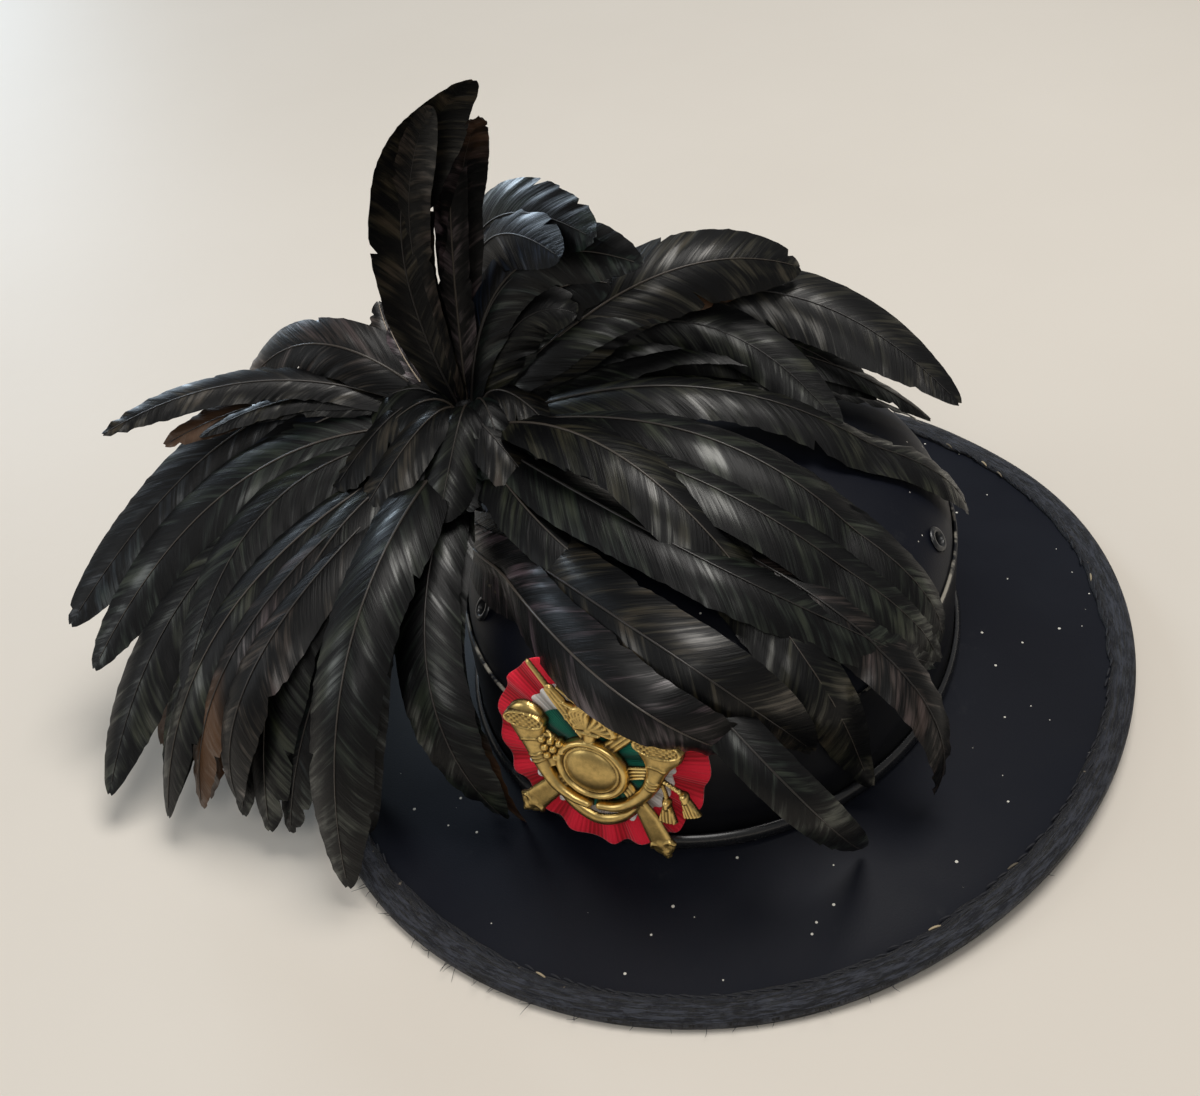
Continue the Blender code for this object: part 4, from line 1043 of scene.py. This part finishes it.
# %% Where the long feathers go
FEATHER_REACH, PLUME_HEIGHT, FEATHER_WIDTH, PLUME_HEAD = 0.160, 0.250, 0.024, 0.010
ROOT = np.array([-0.0874, -0.006, 0.100])
FEATHERS = [
    # heading in degrees, reach and height of the middle, then of the tip, width, roll, tone and, for the
    # two that leave the stem below its head, how far below, in m
    (-144, 0.06, 0.74, -34, 0.30, 1.00, 0.88, -30, 0.60),
    (60, 0.07, 0.72, -29, 0.26, 0.94, 0.60, -20, 0.85),
    (85, 0.17, 0.66, 0, 0.37, 0.74, 1.00, 50, 0.20),
    (32, 0.15, 0.64, 6, 0.45, 0.69, 0.85, 50, 0.25),
    (32, 0.18, 0.58, 30, 0.36, 0.60, 0.95, 50, 0.20),
    (27, 0.42, 0.60, 32, 0.79, 0.56, 1.15, 40, 0.55),
    (34, 0.62, 0.54, 17, 1.10, 0.40, 1.15, 30, 0.55),
    (30, 0.54, 0.50, 22, 0.93, 0.38, 0.90, 30, 0.35),
    (27, 0.58, 0.48, 21, 1.05, 0.34, 0.75, 0, 0.35),
    (11, 0.61, 0.47, 13, 1.10, 0.24, 1.00, 0, 0.45),
    (-5, 0.66, 0.46, -6, 1.10, 0.21, 1.00, 0, 0.35),
    (-15, 0.67, 0.45, -8, 1.13, 0.20, 0.95, 0, 0.35),
    (-27, 0.73, 0.42, -9, 1.12, 0.20, 0.95, 0, 0.30),
    (-23, 0.61, 0.47, -21, 1.10, 0.09, 1.00, 0, 0.50),
    (-16, 0.98, 0.31, -17, 1.20, 0.07, 0.90, 0, 0.75),
    (-42, 0.87, 0.420, -27, 1.03, 0.20, 1.10, 30, 0.60, 0.034),
    (-49, 0.90, 0.395, -30, 0.98, 0.19, 0.90, 40, 0.95, 0.034),
    (-38, 1.04, 0.33, -26, 1.15, 0.05, 0.70, 20, 0.30),
    (-45, 0.40, 0.41, -37, 0.64, 0.37, 0.80, 0, 0.40),
    (-89, 0.64, 0.36, -89, 0.89, 0.04, 1.05, 0, 0.30),
    (-78, 0.57, 0.29, -66, 0.72, 0.07, 0.90, 0, 0.30),
    (-100, 0.56, 0.29, -102, 0.82, 0.05, 0.85, 0, 0.20),
    (-111, 0.54, 0.34, -105, 0.84, 0.05, 1.10, 0, 0.35),
    (-108, 0.66, 0.32, -111, 0.84, 0.08, 0.90, 0, 0.70),
    (-115, 0.64, 0.32, -117, 0.89, 0.05, 0.85, 0, 0.80),
    (-122, 0.63, 0.32, -119, 0.96, 0.05, 0.90, 0, 0.40),
    (-139, 0.46, 0.38, -122, 0.81, 0.22, 0.90, -15, 0.30),
    (-139, 0.61, 0.32, -127, 1.04, 0.06, 1.05, -20, 0.40),
    (-150, 0.51, 0.39, -139, 0.97, 0.18, 1.00, -30, 0.25),
    (-166, 0.48, 0.43, -145, 1.00, 0.22, 1.10, -35, 0.10),
    (-167, 0.43, 0.49, -154, 0.81, 0.48, 0.60, -20, 0.60),
    (180, 0.33, 0.52, 179, 0.61, 0.40, 0.90, -40, 0.75),
    (169, 0.15, 0.48, 151, 0.30, 0.54, 0.45, 0, 0.70),
]
LONG_FEATHERS = len(FEATHERS)
print("long feathers:", LONG_FEATHERS)


# %% The shaft's arc
def off_crown(points, clearance=0.0045):
    """Points that would lie inside the crown are moved onto it."""
    width, length = FOOT_WIDTH + 0.0015 + clearance, FOOT_LENGTH + 0.0015 + clearance
    rise = np.maximum(0.0, points[:, 2] - SIDE_TOP) / (DOME + clearance)
    inside = np.sqrt((points[:, 0] / width) ** 2 + (points[:, 1] / length) ** 2 + rise**2)
    centre = np.stack([0 * rise, 0 * rise, np.minimum(points[:, 2], SIDE_TOP)], 1)
    moved = centre + (points - centre) / np.maximum(inside, 0.2)[:, None]
    return np.where((inside < 1)[:, None], moved, points)


def from_root(heading, reach, height):
    """A point of the plume from its heading and its shares of the reach and the height."""
    angle = math.radians(heading)
    return np.array([ROOT[0] + reach * FEATHER_REACH * math.cos(angle),
                     ROOT[1] + reach * FEATHER_REACH * math.sin(angle), height * PLUME_HEIGHT])


def shaft_line(row, steps):
    """The arc of a feather's shaft, as in the CAD."""
    middle, tip = from_root(*row[0:3]), from_root(*row[3:6])
    start = ROOT + (middle - ROOT) / np.linalg.norm(middle - ROOT) * PLUME_HEAD * 0.4
    if len(row) > 9:
        start = ROOT - (0.0, 0.012, row[9])  # in front of the stem
    handle = 2 * middle - (start + tip) / 2
    share = np.linspace(0, 1, steps)[:, None]
    return off_crown(start * (1 - share) ** 2 + handle * 2 * share * (1 - share) + tip * share**2)


# %% Frames along a shaft
def shaft_frames(line, heading, roll):
    """Unit vectors along the shaft, across the vane and out of its upper face."""
    along = np.gradient(line, axis=0)
    along /= np.linalg.norm(along, axis=1, keepdims=True)
    width, length = FOOT_WIDTH + BAND_OUT, FOOT_LENGTH + BAND_OUT
    rise = np.maximum(0.0, line[:, 2] - SIDE_TOP)
    off = np.sqrt((line[:, 0] / width) ** 2 + (line[:, 1] / length) ** 2 + (rise / DOME) ** 2) - 1
    out = np.stack([line[:, 0] / width**2, line[:, 1] / length**2, rise / DOME**2], 1)
    out /= np.linalg.norm(out, axis=1, keepdims=True)
    hug = ease(1 - off / 0.35)[:, None]
    level = np.array([-math.sin(heading), math.cos(heading), 0.0])
    side = level * (1 - hug) + np.cross(out, along) * hug
    side -= along * (side * along).sum(1, keepdims=True)
    side /= np.linalg.norm(side, axis=1, keepdims=True)
    face = np.cross(along, side)
    turned_side = side * math.cos(roll) + face * math.sin(roll)
    return along, turned_side, np.cross(along, turned_side)


def vane_width(share):
    """Width along the feather as a share of its widest: half at the quill, then full, and a rounded tip."""
    spread = 0.55 + 0.45 * ease(share / 0.22)
    return spread * np.clip(1.003 - np.clip((share - 0.48) / 0.52, 0, 1) ** 2.5, 0, 1) ** 0.72


# %% One feather
FULLER = 1.06  # vanes spread a little wider than the solid strips of the CAD
BARB_SLANT = 1.65  # how far along a barb reaches for each step it goes out
SHAFT_STEPS = 90


def feather(row, rng, rows=72, half_columns=6):
    """Net of a feather's two vanes and shaft, with what its finish needs at every point."""
    line = shaft_line(row, SHAFT_STEPS)
    along, side, face = shaft_frames(line, math.radians(row[3]), math.radians(row[7]))
    steps = np.linalg.norm(np.diff(line, axis=0), axis=1)
    run = np.concatenate([[0], np.cumsum(steps)])
    length = run[-1]
    up = np.sign(face[:, 2].sum() + (face * line * (1, 1, 0)).sum() * 2) or 1.0
    face = face * up

    def at(values, place):
        return np.stack([np.interp(place, run, values[:, k]) for k in range(3)], -1)

    half = row[6] * FEATHER_WIDTH * FULLER / 2
    base = np.linspace(0.02, 0.995, rows) * length
    u = np.linspace(-1, 1, 2 * half_columns + 1)
    uneven = 1 + 0.05 * np.interp(np.linspace(0, 1, rows), np.linspace(0, 1, 9), rng.normal(size=9))
    width = vane_width(base / length) * half * uneven
    out = np.abs(u)[None, :] * width[:, None]
    ragged = np.ones((rows, len(u)))
    lift = np.zeros((rows, len(u)))
    for sign in (-1, 1):
        on_side = (np.sign(u) == sign)[None, :]
        share_out = np.abs(u)[None, :] ** 1.5
        for _ in range(rng.integers(0, 4)):
            spot = rng.uniform(0.2, 0.98) * length
            depth, wide = rng.uniform(0.08, 0.4), rng.uniform(0.0007, 0.0016)
            notch = np.exp(-(((base - spot) / wide) ** 2))[:, None] * depth * share_out
            ragged -= np.where(on_side, notch, 0)
            clump = ease((base - spot) / 0.004) * np.exp(-np.maximum(0, base - spot) / 0.02)
            lift += np.where(on_side, clump[:, None] * share_out * rng.normal() * 0.0010, 0)
        fray = 1 - 0.03 * rng.random(rows)[:, None] * share_out
        ragged *= np.where(on_side, fray, 1)
    out = out * np.clip(ragged, 0.25, 1.1)
    waves = (np.sin(math.tau * base / rng.uniform(0.0085, 0.012) + rng.uniform(0, 6)) * 0.6
             + np.sin(math.tau * base / rng.uniform(0.0050, 0.0070) + rng.uniform(0, 6)) * 0.4)
    patch = np.interp(np.linspace(0, 1, rows), np.linspace(0, 1, 7), rng.uniform(-0.4, 1.2, 7))
    ripple = (waves * np.clip(patch, 0, 1))[:, None] * (np.abs(u) ** 1.2)[None, :] * 0.00085
    droop = -(0.28 + 0.16 * rng.random()) * out**2 / max(half, 1e-6)
    place = base[:, None] + out * BARB_SLANT * (0.55 + 0.45 * (1 - base / length))[:, None]
    beyond = np.maximum(0, place - length)
    net = (at(line, place) + at(along, place) * beyond[..., None]
           + at(side, place) * (np.sign(u)[None, :] * out)[..., None]
           + at(face, place) * (droop + ripple + lift + 0.00035)[..., None])
    data = {
        "across": np.broadcast_to(u, (rows, len(u))).ravel(),
        "barb": np.broadcast_to(base[:, None], (rows, len(u))).ravel(),
        "reach": np.broadcast_to((base / length)[:, None], (rows, len(u))).ravel(),
    }
    quill = line + face * 0.0005
    shaft, shaft_faces = slender(quill[::3], np.linspace(0.00060, 0.00012, len(quill[::3])), 5)
    return net.reshape(-1, 3), net_faces(rows, len(u)), data, shaft, shaft_faces


# %% Room for the crown and the floor
def clear_of_things(points):
    """Keeps feathers over the floor and off the crown."""
    points = off_crown(points, 0.0020)
    points[:, 2] = np.maximum(points[:, 2], 0.0035)
    return points


# %% [markdown]
# ## Finish of a feather
# Black cock feathers are never flat black. The barbs give long slanting streaks of light, and the vane
# shines green, bronze, purple or blue depending on the feather; here both are painted highlights in the base
# colour. Some tips fade to rusty brown.
# The streaks follow the barb number that the net keeps, so they lie exactly along the barbs.

# %% Feather finish
def feather_finish():
    """Black barbs with painted highlight streaks of a colour that the feather's tone picks, and a coat gloss
    in the same patches.
    """
    made = Finish("cock_feather_fine", specular_ior_level=0.20, coat_roughness=0.26, coat_ior=1.6)
    across_it, barb, tone, rust, seed = map(made.stored, ("across", "barb", "tone", "rust", "seed"))
    fine = made.noise(1.0, 2.0, made.stretched(barb * 2200.0, across_it * 0.9, seed * 40.0), 0.6)
    strand = made.noise(1.0, 3.0, made.stretched(barb * 480.0, across_it * 0.6, seed * 23.0), 0.6)
    broad = made.noise(1.0, 2.0, made.stretched(barb * 90.0, across_it * 0.7, seed * 17.0))
    hue = made.add("ShaderNodeValToRGB", {"stops": [
        (0.00, (0.016, 0.023, 0.046)), (0.22, (0.010, 0.020, 0.017)), (0.45, (0.027, 0.032, 0.018)),
        (0.68, (0.044, 0.034, 0.021)), (1.00, (0.085, 0.060, 0.070))]}, {"Fac": tone + (broad - 0.5) * 0.5})
    # painted highlight: where shine is high, the base colour rises from near black to the streak hue,
    # standing in for the barbs' streaks of light
    shine = (strand * 0.7 + fine * 0.25 + broad * 0.9).between(0.88, 1.24)
    streak = made.mix((0.0009, 0.0010, 0.0014), hue, shine)
    brown = made.mix(streak, (0.090, 0.045, 0.022), (rust + (broad - 0.5) * 0.5).between(0.35, 0.75))
    made.surface(base_color=brown, roughness=0.42 - 0.12 * shine + 0.10 * fine,
                 coat_weight=0.06 + 0.72 * shine,
                 normal=made.bump(strand + fine * 0.25 + broad, 0.7, 0.0005))
    return made


vane_finish = feather_finish()
shaft_finish = Finish("feather_shaft", roughness=0.38, specular_ior_level=0.6)
pale = shaft_finish.stored("pale")
shaft_finish.surface(base_color=shaft_finish.mix((0.007, 0.006, 0.006), (0.42, 0.34, 0.26), pale))

# %% [markdown]
# ## The plume
# The long feathers that shape the plume stand where the CAD has them. Under and between them lie
# many shorter ones, drawn from the same rows with small seeded changes, so gaps show feather and
# not floor. They are joined in groups, because a hundred small objects only slow the scene down.

# %% Shorter feathers
def varied(row, rng, spread, shorter, lower):
    """A feather like this one, a little aside, shorter and lower."""
    aside = rng.normal() * spread
    shrink = rng.uniform(*shorter)
    drop = rng.uniform(*lower)
    return (row[0] + aside, row[1] * shrink, row[2] - drop, row[3] + aside * 1.2, row[4] * shrink,
            max(0.035, row[5] - drop * rng.uniform(0.3, 1.2)), row[6] * rng.uniform(0.70, 1.0),
            row[7] + rng.normal() * 12, float(np.clip(row[8] + rng.normal() * 0.2, 0, 1)))


def ruff(count):
    """Short feathers that arch out of the head all round and hide the bound quills."""
    for k in range(count):
        heading = -180 + 360 * k / count
        reach = 0.27 + 0.03 * (k % 3)
        yield (heading, reach * 0.36, 0.465 + 0.01 * (k % 2), heading + 14 * (-1) ** k, reach,
               0.385, 0.75, 0, 0.2 + 0.2 * (k % 3))


# %% Groups
RUFF_FEATHERS = 22
FEATHERS += ruff(RUFF_FEATHERS)
RUSTY = {25: 0.75, 24: 0.25, 32: 0.45, 2: 0.5, 15: 0.35, 31: 0.3}  # how brown the tips of some rows are
PALE_SHAFT = 33  # the row whose shaft shows as a light line
GROUPS = {
    # name: rows of the table, how many shorter ones below each
    "plume_front": ([20, 21, 22, 23, 24, 25], 2),
    "plume_right_side": ([26, 27, 28, 29, 30, 31, 32, 33], 2),
    "plume_far_side": ([6, 7, 8, 9], 1),
    "plume_over_crown": ([10, 11, 12, 13, 14, 15], 0),
    "plume_top": ([1, 2, 3, 4, 5], 1),
    "plume_over_badge": ([16, 17, 18, 19], 0),
    "plume_ruff": (range(LONG_FEATHERS + 1, LONG_FEATHERS + 1 + RUFF_FEATHERS), 0),
}
print("groups of feathers:", len(GROUPS))

# %% Grow the plume
LONG_ROWS, SHORT_ROWS = 72, 48
KEPT = ("across", "barb", "tone", "rust", "seed")
rng = np.random.default_rng(20)
total = 0
for group, (members, below) in GROUPS.items():
    vanes, shafts, pales, kept = [], [], [], {name: [] for name in KEPT}
    for number in members:
        row = FEATHERS[number - 1]
        family = [(row, LONG_ROWS, RUSTY.get(number, 0.0))]
        for _ in range(below):
            shorter = varied(row, rng, 5, (0.70, 0.98), (0.0, 0.05))
            family.append((shorter, SHORT_ROWS, rng.choice((0.0, 0.0, 0.0, 0.6))))
        for one, rows, rust in family:
            half_columns = 6 if rows == LONG_ROWS else 4
            net, faces, data, shaft, shaft_faces = feather(one, rng, rows, half_columns)
            vanes.append((clear_of_things(net), faces))
            shafts.append((clear_of_things(shaft), shaft_faces))
            data.update(tone=np.full(len(net), one[8]), rust=rust * ease((data["reach"] - 0.45) / 0.4),
                        seed=np.full(len(net), rng.random()))
            for name in KEPT:
                kept[name].append(data[name])
            pales.append(np.full(len(shaft), 0.9 if number == PALE_SHAFT else rng.uniform(0.0, 0.12)))
    points, faces, _ = gather(vanes)
    total += len(faces)
    piece(group, points, faces, vane_finish, "cock_feather", ["plume"],
          **{name: np.concatenate(values) for name, values in kept.items()})
    points, faces, _ = gather(shafts)
    total += len(faces)
    piece(group + "_shafts", points, faces, shaft_finish, "cock_feather", pale=np.concatenate(pales))
print("plume faces:", total)

# %% [markdown]
# ## Head and stem of the plume
# The quills are bound together into a small head, which stands in a leather socket against the
# band. Both are nearly hidden by the feathers, so plain turned shapes with a wrapped finish do.

# %% Head and stem
binding_cord = Finish("plume_head_binding", roughness=0.7)
up_it = binding_cord.add("ShaderNodeSeparateXYZ", None, {0: binding_cord.place()}, 2)
turns = (up_it * 5200.0).sine()
# painted shade: the colour follows the same wave as the bump, dark in the grooves between turns and lighter
# on their crests
binding_cord.surface(base_color=binding_cord.mix((0.005, 0.005, 0.006), (0.022, 0.022, 0.024), turns),
                     normal=binding_cord.bump(turns, 0.5, 0.0003))
HEAD_SECTION = [
    # share of the height from the stem's foot to the root, radius in mm
    (0.00, 5.5), (0.45, 5.5), (0.55, 5.0), (0.70, 6.2), (0.82, 8.0), (0.94, 9.6), (1.02, 9.4),
    (1.10, 6.8), (1.16, 3.0), (1.18, 0.2),
]
STEM_FOOT = np.array([-0.10215 + 0.0068 - 0.0001, -0.006, 0.0273])
STEM_SIDES = 28
angle = np.linspace(0, math.tau, STEM_SIDES, endpoint=False)
round_it = np.stack([np.cos(angle), np.sin(angle), 0 * angle], 1) / 1000
rows = []
for share, radius in HEAD_SECTION:
    lean = float(ease((share - 0.45) / 0.55))
    rows.append(STEM_FOOT + (ROOT - STEM_FOOT) * (lean, lean, share) + round_it * radius)
faces = net_faces(len(rows), STEM_SIDES, columns_close=True).tolist() + [list(range(STEM_SIDES))[::-1]]
piece("plume_stem", np.concatenate(rows), faces, binding_cord, "cock_feather", ["plume"])
print("stem, rings:", len(rows))

# %% Socket
socket_hide = Finish("socket_leather_fine", roughness=0.5)
marks = socket_hide.noise(300.0, 4.0)
socket_hide.surface(base_color=socket_hide.mix((0.006, 0.006, 0.008), (0.022, 0.021, 0.021), marks),
                    normal=socket_hide.bump(marks, 0.3, 0.0002))
frame["nodes"]["plume_socket"].data.materials.clear()
frame["nodes"]["plume_socket"].data.materials.append(socket_hide.material)
